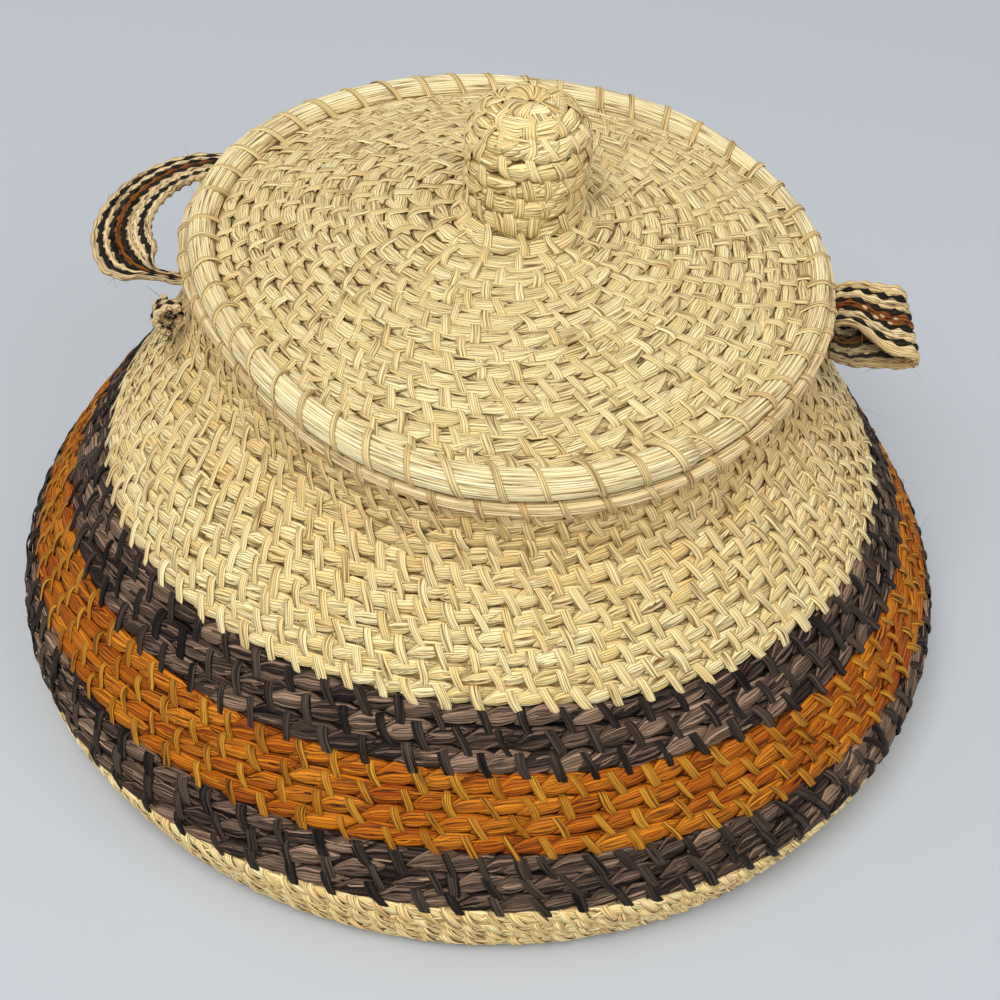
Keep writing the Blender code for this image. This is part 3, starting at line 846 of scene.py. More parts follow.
@dataclass
class Coil:
    """One length of a winding: its core, its packets of straw and its stitches.

    PACKET_VARY is how much packets differ in reach, bow, width, place, rise and start, STRAY_VARY how much
    stray straws do in reach, place, slant, bow, width and start, and STITCH_VARY how much stitches do in
    foot, rise, width, sway and bow. A last 0 is drawn and not used, which keeps the order of the draws.
    """

    name: str
    slot: str
    body: str
    winding: Winding
    first: float
    last: float
    sewing: Sewing
    bundle: StrandFinish
    thread: StrandFinish
    seed: int
    # Painted shade at each place, such as under the rim.
    shade: Callable[[Array], Array] = lambda points: np.zeros(points.shape[:-1])
    keep: Callable[[Array], Array] = lambda points: np.ones(len(points), dtype=bool)

    PACKET_LOW_EDGE = ((0, 0.10, 0.46, 0.72, 1), (0.10, -0.01, -0.05, 0.20, 0.78))
    PACKET_HIGH_EDGE = ((0, 0.16, 0.40, 0.80, 1), (0.10, 0.58, 1.05, 1.03, 0.86))
    PACKET_START = 0.46
    PACKET_CROWN = 0.0006
    PACKET_HALF_WIDTH = 2.9
    PACKET_VARY = (0.10, 0.04, 0.06, 0.02, 0.00016, 0.04, 0.0)
    STRAY_VARY = (0.3, 0.33, 0.22, 0.15, 0.35, 0.25)
    STRAY_REACH = 0.75
    STRAY_SLANT = 0.30
    STRAY_WIDTH = 0.00065
    STRAY_RISE = 0.0001
    STRAY_THICK = 0.0004
    STRAY_DIP = 0.0009
    STITCH_VARY = (0.06, 0.00010, 0.16, 1.0, 0.0005, 0.0)
    STITCH_STATIONS = (0.0, 0.10, 0.24, 0.42, 0.60, 0.76, 0.90, 1.0)
    STITCH_HEIGHTS = (-0.0024, -0.0007, -0.0001, 0.0, -0.0002, -0.0005, -0.0004, -0.0020)
    STITCH_WIDTHS = (0.80, 0.98, 1.0, 1.0, 0.98, 0.94, 0.82, 0.50)
    STITCH_THICK = 0.00036
    STITCH_LENGTH = 8.5
    CORE_ROWS = (-0.04, 0.2, 0.5, 0.8, 1.04, 0.8, 0.5, 0.2)
    CORE_RISES = (-0.0022, -0.0012, -0.0008, -0.0012, -0.0022, -0.0035, -0.0040, -0.0035)
    CORE_STEPS = 60
    # The core's middle openness paints half shade on it, where it shows between the packets.
    CORE_TONE = (0.3, 0.52, 0.0)
    ROW_WIDTH = 5.6
    STRAW_ROW = 0.0058

    def packets(self, batch: Batch, shape: Shape, turns: Array, side: Side, rng: Rng) -> None:
        """Lays a packet of straw across each stitch of a side.

        Args:
            batch: The mesh that takes them.
            shape: The packet's shape.
            turns: The turns at which the stitches lie.
            side: The side of the coil.
            rng: The source of the differences.
        """
        sewing = self.sewing
        along, _, up = shape.axes()
        spread = shape.spread()[None, :]
        count = len(turns)
        vary = varied(rng, self.PACKET_VARY, count)
        reach = sewing.gap * sewing.packet_reach * (1 + vary[0])
        share = 0.5 - along
        late = share + vary[1] * np.sin(np.pi * share)
        low = np.interp(late, *self.PACKET_LOW_EDGE)
        high = np.interp(late, *self.PACKET_HIGH_EDGE)
        off = (low + high) / 2 + (high - low) / 2 * spread * (1 + vary[2])
        off = 0.5 + (off - 0.5) * sewing.packet_width + vary[3]
        mirrored = np.floor(turns) % 2 == 1 if sewing.braided else np.zeros(count, dtype=bool)
        off = np.where(mirrored[:, None], 1 - off, off)
        rise = sewing.packet_rise + vary[4] + sewing.packet_step * along
        rise = rise + (up - 0.5) * sewing.packet_depth - self.PACKET_CROWN * (2 * off - 1) ** 2
        ahead = (self.PACKET_START + vary[5]) * sewing.gap + along * reach
        points = self.winding.place(self.winding.after(turns[:, None], ahead), off, rise, side)
        strand = strands(rng, (count, 1, 2), ahead * MILLI, spread * self.PACKET_HALF_WIDTH)
        # Openness rises from each packet's hidden back to its top, which paints shade on its lower side.
        tone = self.tones(points, rng.uniform(size=(count, 1)), up + 0.5)
        kept = self.keep(points.mean(axis=1))
        plain, over = (shape.reversed(), shape) if side is Side.OUTSIDE else (shape, shape.reversed())
        for faces, chosen in ((plain, kept & ~mirrored), (over, kept & mirrored)):
            if chosen.any():
                batch.add(faces, points[chosen], strand[chosen], tone[chosen])

    def strays(self, batch: Batch, shape: Shape, turns: Array, rng: Rng) -> None:
        """Lays single straws that have slipped out of their packets, aslant over the rows.

        Args:
            batch: The mesh that takes them.
            shape: The shape of a straw.
            turns: The turns at which the stitches lie.
            rng: The source of the differences.
        """
        sewing = self.sewing
        along, across, up = shape.axes()
        turns = rng.choice(turns, int(len(turns) * sewing.strays))[:, None]
        count = len(turns)
        vary = rng.uniform(-1, 1, size=(6, count, 1)) * np.array(self.STRAY_VARY)[:, None, None]
        reach = sewing.gap * (self.STRAY_REACH + vary[0])
        off = 0.5 + vary[1] - (self.STRAY_SLANT + vary[2]) * along + vary[3] * (2 * along) ** 2
        width = self.STRAY_WIDTH * (1 + vary[4]) * (1 - 0.6 * np.abs(2 * along) ** 3)
        rise = sewing.packet_rise + self.STRAY_RISE + self.STRAY_THICK * up
        rise = rise - self.STRAY_DIP * np.abs(2 * along) ** 4 - self.STRAY_DIP * (2 * off - 1) ** 2
        ahead = (0.5 + vary[5]) * sewing.gap + along * reach
        row = off + across * width / self.STRAW_ROW
        points = self.winding.place(self.winding.after(turns, ahead), row, rise, Side.OUTSIDE)
        strand = strands(rng, (count, 1, 2), ahead * MILLI, across * width * MILLI)
        tone = self.tones(points, rng.uniform(0.3, 1.3, size=(count, 1)), crowned(up))
        kept = self.keep(points.mean(axis=1))
        batch.add(shape.reversed(), points[kept], strand[kept], tone[kept])

    def stitches(self, batch: Batch, shape: Shape, turns: Array, side: Side, rng: Rng) -> None:
        """Sews each row of a side to the row before it.

        Args:
            batch: The mesh that takes the stitches.
            shape: The stitch's shape.
            turns: The turns at which they lie.
            side: The side of the coil.
            rng: The source of the differences.
        """
        sewing = self.sewing
        along, across, up = shape.axes()
        count = len(turns)
        vary = varied(rng, self.STITCH_VARY, count)
        share = along + 0.5
        row = sewing.stitch_top + (sewing.stitch_foot - sewing.stitch_top + vary[0]) * share
        rise = np.interp(share, self.STITCH_STATIONS, self.STITCH_HEIGHTS) + sewing.stitch_rise + vary[1]
        rise = rise + up * self.STITCH_THICK
        width = sewing.stitch_width * (1 + vary[2]) * np.interp(share, self.STITCH_STATIONS, self.STITCH_WIDTHS)
        lean = sewing.stitch_lean + sewing.stitch_sway * vary[3]
        ahead = lean * (0.5 - share) + vary[4] * np.sin(np.pi * share) + across * width
        points = self.winding.place(self.winding.after(turns[:, None], ahead), row, rise, side)
        strand = strands(rng, (count, 1, 2), share * self.STITCH_LENGTH, across * width * MILLI)
        tone = self.tones(points, rng.uniform(size=(count, 1)), crowned(up))
        kept = self.keep(points.mean(axis=1))
        faces = shape.reversed() if side is Side.OUTSIDE else shape
        batch.add(faces, points[kept], strand[kept], tone[kept])

    def tones(self, points: Array, own: Array, open_face: Array) -> Array:
        """Puts each point's own lightness, openness, which paints shade on hidden sides, and shade together: the
        coil's painted shade and random fading.
        """
        return joined(own, open_face, np.clip(self.shade(points) + self.sewing.faded * (own - 0.5), 0, 1))

    def core(self, batch: Batch) -> None:
        """Winds the core that shows between the packets.

        Args:
            batch: The mesh that takes it.
        """
        count = int((self.last - self.first) * self.CORE_STEPS) + 1
        turn = np.linspace(self.first, self.last, count)[:, None]
        row = np.array(self.CORE_ROWS)[None, :]
        points = self.winding.place(turn, row, np.array(self.CORE_RISES)[None, :])
        along = turn * TAU * self.winding.radius_at(turn) * MILLI
        batch.add_tube(points, joined(along, row * self.ROW_WIDTH), self.CORE_TONE)


@dataclass
class Shapes:
    """The shapes that are modelled once and copied along the coils."""

    packet: Shape
    strip: Shape
    plain_packet: Shape
    plain_strip: Shape

    @classmethod
    def model(cls) -> "Shapes":
        """Models the four shapes."""
        return cls(model_packet(8, 7), model_strip(7, 3), model_packet(6, 5), model_strip(4, 2))


def near_mouth(height: Array) -> Array:
    """How near heights are to the mouth, eased from 0 on the shoulder to 1 under the rim."""
    return smooth((height - 0.085) / 0.045)


class Dresser:
    """Makes materials once, and turns batches into pieces that ride and stand for nodes."""

    MOUTH = 0.1
    SWAY = 0.012
    TWIST = 0.003
    SQUEEZED = {"basket": 0.0038, "lid": 0.0050}
    TUCKED = {"basket": 0.0026, "lid": 0.0}
    TUCK_ANGLE = math.radians(220)
    SPREAD = {"basket": 0.0032, "lid": 0.0}
    SPREAD_ANGLE = math.radians(168)
    BELLY_FOOT = 0.020
    BELLY_TOP = (0.045, 0.035)
    BELLY_RADIUS = 0.12
    BULGE = (0.0018, 0.0034)

    @classmethod
    def settle(cls, points: Array, body: str) -> Array:
        """Pushes the mouth, the lid and the belly out of round, as on the worn basket.

        Args:
            points: Places on the round basket.
            body: The body that they are on.

        Returns:
            The places pushed out at the back's two sides and in at the front's and on the left, with the
            mouth tucked under the lid at the front left, spread past it on the left, and the belly fuller at
            both sides.
        """
        radius = np.maximum(np.hypot(points[..., 0], points[..., 1]), 1e-6)
        cosine, sine = points[..., 0] / radius, points[..., 1] / radius
        share = near_mouth(points[..., 2]) * np.minimum(1.1, (radius / cls.MOUTH) ** 2)
        push = cls.SWAY * cosine**2 * sine - cls.TWIST * cosine * sine - cls.SQUEEZED[body] * smooth(-cosine)
        tuck = cls.facing(cosine, sine, cls.TUCK_ANGLE) ** 2 * cls.TUCKED[body]
        push = push + cls.facing(cosine, sine, cls.SPREAD_ANGLE) ** 4 * cls.SPREAD[body]
        start, span = cls.BELLY_TOP
        belly = smooth(points[..., 2] / cls.BELLY_FOOT) * (1 - smooth((points[..., 2] - start) / span))
        bulge = cls.BULGE[0] * smooth(cosine) + cls.BULGE[1] * smooth(-cosine)
        push = share * (push - tuck) + belly * bulge * smooth(radius / cls.BELLY_RADIUS)
        out = points.copy()
        out[..., 0] += push * cosine
        out[..., 1] += push * sine
        out[..., 2] -= 0.2 * share * tuck
        return out

    @staticmethod
    def facing(cosine: Array, sine: Array, angle: float) -> Array:
        """How squarely directions face an angle, from 0 beside it to 1."""
        return np.maximum(0, cosine * math.cos(angle) + sine * math.sin(angle))

    def __init__(self) -> None:
        """Builds the fibre group and the shapes."""
        self.group = FibreGroup()
        self.made: dict[str, Material] = {}
        self.shapes = Shapes.model()

    def material(self, finish: StrandFinish) -> Material:
        """The material of a finish, made at its first use.

        Args:
            finish: The finish.

        Returns:
            Its material.
        """
        if finish.name not in self.made:
            self.made[finish.name] = finish.make(self.group)
        return self.made[finish.name]

    def piece(
        self, batch: Batch, name: str, finishes: list[StrandFinish], slot: str, body: str | None,
        nodes: tuple[str, ...] = (),
    ) -> bpy.types.Object:
        """Makes a piece of a batch.

        Args:
            batch: The gathered copies.
            name: The piece's name.
            finishes: Its finishes in the order of the batch's materials.
            slot: The record's material slot; not used.
            body: The body that it rides on, or None.
            nodes: The CAD nodes that it stands for.

        Returns:
            The new object.
        """
        if body:
            batch.parts = [(self.settle(part[0], body), *part[1:]) for part in batch.parts]
        made = batch.piece(name, [self.material(finish) for finish in finishes])
        if body:
            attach(made, body)
        if nodes:
            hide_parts(*nodes)
        LOG.info("%s: %d faces", name, len(made.data.polygons))
        return made

    def coil(self, coil: Coil) -> None:
        """Dresses one length of coil, outside and inside.

        Args:
            coil: The length of coil.
        """
        rng = np.random.default_rng(coil.seed)
        turns = coil.winding.spaced(coil.first, coil.last, coil.sewing, rng)
        core, bundle, thread, lining, inner = (Batch() for _ in range(5))
        coil.core(core)
        coil.packets(bundle, self.shapes.packet, turns, Side.OUTSIDE, rng)
        coil.strays(bundle, self.shapes.plain_strip, turns, rng)
        coil.stitches(thread, self.shapes.strip, turns, Side.OUTSIDE, rng)
        coil.packets(lining, self.shapes.plain_packet, turns, Side.INSIDE, rng)
        coil.stitches(inner, self.shapes.plain_strip, turns, Side.INSIDE, rng)
        parts = (
            ("core", core, coil.bundle, (coil.name + "_coil",)),
            ("bundle", bundle, coil.bundle, ()),
            ("stitches", thread, coil.thread, ()),
            ("lining", lining, coil.bundle, ()),
            ("lining_stitches", inner, coil.thread, ()),
        )
        for part, batch, finish, nodes in parts:
            self.piece(batch, f"{coil.name}_{part}", [finish], coil.slot, coil.body, nodes)


@dataclass
class Basket:
    """The basket's body: one coil that winds over the base and up the wall, and its mouth."""

    mouth_radius: float = 0.0985
    mouth_height: float = 0.1331
    row: float = 0.0056
    band_row: float = 0.0059
    shoulder_row: float = 0.0069
    start: float = 0.0106
    base_rows: int = 23
    foot_rows: int = 5
    lower_rows: int = 3
    ochre_rows: int = 4
    upper_rows: int = 3
    wall_rows: int = 12
    open_end: float = 0.3
    dip_depth: float = 0.0100
    dip_span: tuple[float, float, float] = (0.080, 0.170, 0.215)
    seam: float = math.radians(120)

    def __post_init__(self) -> None:
        """Lays the outline and the winding out."""
        self.outline = Outline(
            (
                (0.0, 0.0, 0.0),
                (0.1455, 0.0, 0.007),
                (0.1519, 0.0245, 0.016),
                (self.mouth_radius - 0.0002, self.mouth_height - 0.0178, 0.014),
                (self.mouth_radius, self.mouth_height, 0.0),
            ),
            1,
        )
        marks = [(-1.0, self.start - self.row), (0.0, self.start)]
        lengths = (
            (self.base_rows + self.foot_rows, self.row),
            (self.lower_rows + self.ochre_rows, self.band_row),
            (self.upper_rows, self.shoulder_row),
            (self.wall_rows, self.row),
        )
        for rows, height in lengths:
            marks.append((marks[-1][0] + rows, marks[-1][1] + rows * height))
        self.winding = Winding(self.outline, tuple(marks), self.seam, -1, dip=self.dip, limit=self.under_mouth)

    def dip(self, length: Array, angle: Array) -> Array:
        """How far the rows dip towards the foot at the handle sides.

        Args:
            length: The length along the outline.
            angle: The angle round the basket.

        Returns:
            What is added to the length.
        """
        starts, full, fades = self.dip_span
        rise = smooth((length - starts) / (full - starts))
        fade = smooth((length - fades) / (self.outline.length - fades))
        return -self.dip_depth * rise * (1 - fade) * np.cos(angle) ** 2

    def under_mouth(self, radius: Array, height: Array) -> tuple[Array, Array]:
        """Keeps the coil above what it stands on and ends it inside the coil round the mouth."""
        return radius, np.clip(height, 0.0, self.mouth_height + 0.0012)

    def below_mouth(self, points: Array) -> Array:
        """Whether places lie under the mouth."""
        return points[:, 2] < self.mouth_height - 0.0002

    def wall_shade(self, points: Array) -> Array:
        """Painted shade that darkens the straw under the rim."""
        return 0.45 * near_mouth(points[..., 2])

    def coils(self) -> list[Coil]:
        """Lists the coil's lengths.

        Returns:
            The lengths of coil from the base to the mouth.
        """
        bands = Sewing(
            gap=0.0114, stitch_width=0.0026, stitch_lean=0.0046, stitch_foot=-0.32, packet_depth=0.0022,
            faded=0.7,
        )
        lower = Sewing(
            gap=0.0112, stitch_width=0.0031, stitch_lean=0.0042, stitch_sway=0.0014, loose=0.20, stagger=0.0,
            packet_rise=0.0, faded=0.55,
        )
        upper = Sewing(gap=0.0109, stitch_width=0.0028, stitch_lean=0.0040, faded=0.55)
        foot = Sewing(gap=0.0064, stitch_width=0.0030, stitch_lean=0.0056, packet_reach=1.6, braided=True)
        wall = Sewing(gap=0.0089, stitch_foot=-0.52, stitch_lean=0.0040)
        parts = (
            ("base", "natural_straw", self.base_rows, wall, NATURAL, NATURAL_STITCH),
            ("foot", "natural_straw", self.foot_rows, foot, FOOT, FOOT),
            ("lower_dark", "dark_straw", self.lower_rows, lower, DARK, DARK_STITCH),
            ("ochre", "ochre_straw", self.ochre_rows, bands, OCHRE, OCHRE_STITCH),
            ("upper_dark", "dark_straw", self.upper_rows, upper, DARK, DARK_STITCH),
            ("wall", "natural_straw", self.wall_rows, wall, NATURAL, NATURAL_STITCH),
        )
        coils = []
        first = 0
        for seed, (name, slot, rows, sewing, bundle, thread) in enumerate(parts, start=11):
            last = first + rows - (self.open_end if name == "wall" else 0)
            coils.append(
                Coil(
                    name, slot, "basket", self.winding, first, last, sewing, bundle, thread, seed,
                    shade=self.wall_shade, keep=self.below_mouth,
                )
            )
            first += rows
        return coils


@dataclass
class Lid:
    """The lid's coil from the knob out to its edge."""

    edge_radius: float = 0.0910
    knob_start: float = 0.0055
    knob_rows: float = 6.5
    lead: float = 0.35
    knob_row: float = 0.0064
    crown: float = 0.2003
    lid_rows: int = 16
    row: float = 0.0056
    lean_size: float = 0.0045
    lean_fade: float = 0.030
    seam: float = math.radians(26)

    def __post_init__(self) -> None:
        """Lays the outline and the winding out."""
        self.outline = Outline(
            (
                (0.0, self.crown, 0.0),
                (0.0190, self.crown, 0.0160),
                (0.0176, 0.16245, 0.003),
                (0.0600, 0.15445, 0.060),
                (0.1022, 0.13920, 0.0),
            ),
            -1,
        )
        self.knob_length = self.knob_start + self.knob_rows * self.knob_row
        rows = self.knob_rows + self.lid_rows
        edge = self.knob_length + self.lid_rows * self.row
        marks = ((-1.0, 0.0), (0.0, self.knob_start), (self.knob_rows, self.knob_length), (rows, edge))
        self.winding = Winding(self.outline, marks, self.seam, 1, lean=self.lean, limit=self.inside_rim)

    def lean(self, length: Array) -> Array:
        """How far the knob stands to the right of the lid's middle."""
        return self.lean_size * (1 - smooth((length - self.knob_length) / self.lean_fade))

    def inside_rim(self, radius: Array, height: Array) -> tuple[Array, Array]:
        """Ends the lid just inside its rim."""
        return np.minimum(radius, self.edge_radius + 0.0010), height

    def within_edge(self, points: Array) -> Array:
        """Whether places lie within the lid's edge."""
        return np.hypot(points[:, 0], points[:, 1]) < self.edge_radius - 0.0004

    def coils(self) -> list[Coil]:
        """Lists the coil's lengths.

        Returns:
            The knob's and the lid's lengths of coil.
        """
        knob = Sewing(
            gap=0.0080, stitch_width=0.0031, stitch_lean=0.0010, stitch_sway=0.0018, loose=0.24,
            stitch_foot=-0.24, stitch_rise=0.0002, packet_reach=1.75, packet_width=1.06, packet_depth=0.0015,
            strays=1.6,
        )
        slope = Sewing(
            gap=0.0095, stitch_width=0.0029, stitch_lean=0.0030, loose=0.16, stitch_foot=-0.36,
            stitch_rise=0.0002, packet_reach=1.75,
        )
        edge = self.knob_rows + self.lid_rows - 1
        parts = (
            ("knob", -self.lead, self.knob_rows, knob, KNOB, KNOB_STITCH),
            ("lid", self.knob_rows, edge, slope, LID, LID_STITCH),
        )
        return [
            Coil(
                name, "natural_straw", "lid", self.winding, first, last, sewing, bundle, thread, seed,
                keep=self.within_edge,
            )
            for seed, (name, first, last, sewing, bundle, thread) in enumerate(parts, start=31)
        ]


Middle = tuple[Array, Array, Array]


@dataclass(frozen=True)
class EvenMiddle:
    """The middle of a rim that is the same all the way round."""

    radius: float
    height: float
    thick: float

    def __call__(self, angle: Array) -> Middle:
        """The middle's radius and height, and the half thickness, at an angle."""
        return tuple(np.full_like(angle, size) for size in (self.radius, self.height, self.thick))


@dataclass(frozen=True)
class SwellingMiddle:
    """The middle of the lid's rim, which starts thin and low and swells on its way round."""

    inner_radius: float = 0.0913
    height: float = 0.14235
    drop: float = 0.0021
    thin: float = 0.0035
    full: float = 0.0045
    swell_start: float = math.radians(26)
    swell_span: float = math.radians(38.6)

    def __call__(self, angle: Array) -> Middle:
        """The middle's radius and height, and the half thickness, at an angle."""
        swell = smooth((angle - self.swell_start) / self.swell_span)
        thick = self.thin + (self.full - self.thin) * swell
        return self.inner_radius + thick, self.height - self.drop * (1 - swell), thick


@dataclass
class BoundRim:
    """A coil of long straight straws bound by strips: a core, its straws and its bindings.

    A binding's way round the section is given by stations along it, the angle at each, from outward
    towards up, and how many millimetres it stands off the rim there.
    """

    name: str
    node: str
    slot: str
    body: str
    middle: Callable[[Array], Middle]
    straws: int
    binding_gap: float
    binding_lean: float
    way: int
    seed: int
    stations: tuple[float, ...]
    turns: tuple[float, ...]
    reach: tuple[float, ...]
    first: float = 0.0
    last: float = TAU
    straw_thick: float = 0.0008
    # How much painted shade darkens the whole rim.
    shade: float = 0.0
    binding_width: float = 0.0021

    PATTERN_RADIUS = 95
    CORE_STEPS = 120
    CORE_INSET = 0.55
    STRAW_REACH = (0.9, 2.0)
    STRAW_STEP = 0.045
    SHORTEST = 0.12
    OVERLAP = 0.03
    BINDING_VARY = (0.12, 0.25, 0.0001)
    BINDING_WIDTHS = ((0, 0.1, 0.9, 1), (0.7, 1, 1, 0.7))
    BINDING_LIFT = 0.00025
    BINDING_THICK = 0.0005
    BINDING_LENGTH = 16

    def section(self, angle: Array, turn: Array, inset: Array) -> Array:
        """Points of the rim.

        Args:
            angle: The angle round the basket.
            turn: The angle round the rim's own section, from outward towards up.
            inset: The depth under the rim's surface.

        Returns:
            The points, with x, y and z last.
        """
        radius, height, thick = self.middle(angle)
        return polar(angle, radius + (thick - inset) * np.cos(turn), height + (thick - inset) * np.sin(turn))

    def binding_path(self, share: Array, angle: Array) -> tuple[Array, Array]:
        """The radius and height of a binding.

        Args:
            share: How far along it, 0 to 1.
            angle: The angle round the basket.

        Returns:
            Its radius and height.
        """
        radius, height, thick = self.middle(angle)
        turn = np.radians(np.interp(share, self.stations, self.turns))
        far = thick + np.interp(share, self.stations, self.reach) / MILLI
        return radius + far * np.cos(turn), height + far * np.sin(turn)

    def core(self, batch: Batch) -> None:
        """Lays the middle that shows between the straws.

        Args:
            batch: The mesh that takes it.
        """
        closed = self.last - self.first > TAU - 1e-6
        angle = np.linspace(self.first, self.last, self.CORE_STEPS, endpoint=not closed)[:, None]
        turn = ring(10)
        points = self.section(angle, turn, np.full_like(angle, self.straw_thick * self.CORE_INSET))
        strand = joined(angle * self.PATTERN_RADIUS, turn * 4)
        # The core's middle openness paints half shade on it between the straws.
        batch.add_tube(points, strand, (0.2, 0.52, self.shade), closed=closed, over=True)

    def lay_straws(self, batch: Batch, rng: Rng) -> None:
        """Lays long flat straws side by side round the section.

        Args:
            batch: The mesh that takes them.
            rng: The source of the differences.
        """
        for straw in range(self.straws):
            angle = self.first + rng.uniform(0, 0.6) * (self.last - self.first) * (0 if straw % 2 else 0.4)
            while angle < self.last:
                end = min(angle + rng.uniform(*self.STRAW_REACH), self.last)
                if end - angle > self.SHORTEST:
                    self.lay_straw(batch, rng, angle, end, TAU * (straw + rng.uniform(-0.2, 0.2)) / self.straws)
                if end >= self.last:
                    break
                angle = end - self.OVERLAP + 1e-9

    def lay_straw(self, batch: Batch, rng: Rng, first: float, last: float, turn: float) -> None:
        """Lays one straw.

        Args:
            batch: The mesh that takes it.
            rng: The source of the differences.
            first: The angle at its start.
            last: The angle at its end.
            turn: Its angle round the rim's own section.
        """
        count = max(int((last - first) / self.STRAW_STEP), 4)
        angle = np.linspace(first, last, count)[:, None]
        share = np.linspace(0, 1, count)[:, None]
        taper = np.clip(np.minimum(share, 1 - share) * 14, 0.25, 1)
        wander = turn + rng.uniform(-0.10, 0.10) * np.sin(share * rng.uniform(3, 7) + rng.uniform(0, 6))
        thick = self.middle(angle)[2]
        corner = ring(6)
        half_width = TAU * thick / self.straws * 0.74 * rng.uniform(0.85, 1.25) * taper
        half_thick = self.straw_thick * 0.5 * rng.uniform(0.85, 1.2)
        around = wander + np.cos(corner) * half_width / thick
        inset = half_thick * (1.0 - np.sin(corner)) + (1 - taper) * 0.0003 + rng.uniform(-0.0001, 0.0001)
        points = self.section(angle, around, inset)
        strand = strands(rng, 2, angle * self.PATTERN_RADIUS, np.cos(corner) * half_width * MILLI)
        # Openness falls on each straw's inner side, against the core, which paints shade there.
        batch.add_tube(points, strand, joined(rng.uniform(), 0.68 + 0.32 * np.sin(corner), self.shade))

    def bind(self, batch: Batch, shape: Shape, rng: Rng) -> None:
        """Binds the straws with strips.

        Args:
            batch: The mesh that takes them.
            shape: A strip's shape.
            rng: The source of the differences.
        """
        radius = float(np.mean(self.middle(np.array([(self.first + self.last) / 2]))[0]))
        count = int((self.last - self.first) * radius / self.binding_gap)
        centre = self.first + (np.arange(count) + 0.5) / count * (self.last - self.first)
        centre = (centre + rng.uniform(-0.12, 0.12, count) * self.binding_gap / radius)[:, None]
        along, across, up = shape.axes()
        share = along + 0.5
        vary = varied(rng, self.BINDING_VARY, count)
        width = self.binding_width * (1 + vary[0]) * np.interp(share, *self.BINDING_WIDTHS)
        ahead = self.binding_lean * (1 + vary[1]) * (share - 0.5) + across * width
        angle = centre + self.way * ahead / radius
        away, height = self.binding_path(share, angle)
        after_away, after_height = self.binding_path(share + 0.01, angle)
        run = np.hypot(after_away - away, after_height - height) + 1e-9
        lift = self.BINDING_LIFT + up * self.BINDING_THICK + vary[2]
        out_away = (height - after_height) / run
        out_height = (after_away - away) / run
        points = polar(angle, away + out_away * lift, height + out_height * lift)
        strand = strands(rng, (count, 1, 2), share * self.BINDING_LENGTH, across * width * MILLI)
        tone = joined(rng.uniform(size=(count, 1)), crowned(up), self.shade)
        batch.add(shape if self.way > 0 else shape.reversed(), points, strand, tone, 1)

    def dress(self, dresser: Dresser, strip: Shape) -> None:
        """Makes the rim's piece.

        Args:
            dresser: What makes its materials and its object.
            strip: The shape of its bindings.
        """
        rng = np.random.default_rng(self.seed)
        batch = Batch()
        self.core(batch)
        self.lay_straws(batch, rng)
        self.bind(batch, strip, rng)
        dresser.piece(batch, self.name, [RIM, RIM_BINDING], self.slot, self.body, (self.node,))


def bound_rims() -> list[BoundRim]:
    """Lists the bound rims.

    Returns:
        The lid's rim, open on the right, the mouth's rim, and the seat ring under the lid.
    """
    open_end = math.radians(304.6)
    gap = 0.003
    return [
        BoundRim(
            "lid_rim", "lid_rim_coil", "rim_straw", "lid", SwellingMiddle(), straws=26, binding_gap=0.0122,
            binding_lean=0.0078, way=1, seed=51, first=open_end - TAU + gap, last=open_end - gap,
            stations=(-0.1, 0.0, 0.10, 0.22, 0.36, 0.50, 0.64, 0.78, 0.92, 1.0, 1.1),
            turns=(195.0, 185.0, 165.0, 140.0, 105.0, 70.0, 35.0, 0.0, -45.0, -90.0, -110.0),
            reach=(3.0, 2.6, 1.7, 0.45, 0.0, 0.0, 0.0, 0.0, 0.0, 0.0, 0.0),
        ),
        # The mouth's rim and its bindings get painted shade, as they lie under the lid's rim.
        BoundRim(
            "mouth_rim", "mouth_rim_coil", "rim_straw", "basket", EvenMiddle(0.0988, 0.1358, 0.0022), straws=18,
            binding_gap=0.0115, binding_lean=-0.0050, way=-1, seed=52, shade=0.45,
            stations=(-0.1, 0.0, 0.15, 0.30, 0.45, 0.60, 0.74, 0.88, 1.0, 1.1),
            turns=(240.0, 225.0, 190.0, 145.0, 100.0, 50.0, 5.0, -35.0, -62.0, -75.0),
            reach=(0.2, 0.0, 0.0, 0.0, 0.0, 0.0, 0.0, 0.0, 1.6, 3.4),
        ),
        BoundRim(
            "seat_ring", "lid_seat_ring", "natural_straw", "lid", EvenMiddle(0.0892, 0.1356, 0.0024), straws=14,
            straw_thick=0.0010, binding_gap=0.0110, binding_lean=0.0030, way=1, seed=53,
            stations=(-1.0, 2.0), turns=(450.0, -510.0), reach=(0.0, 0.0),
        ),
    ]


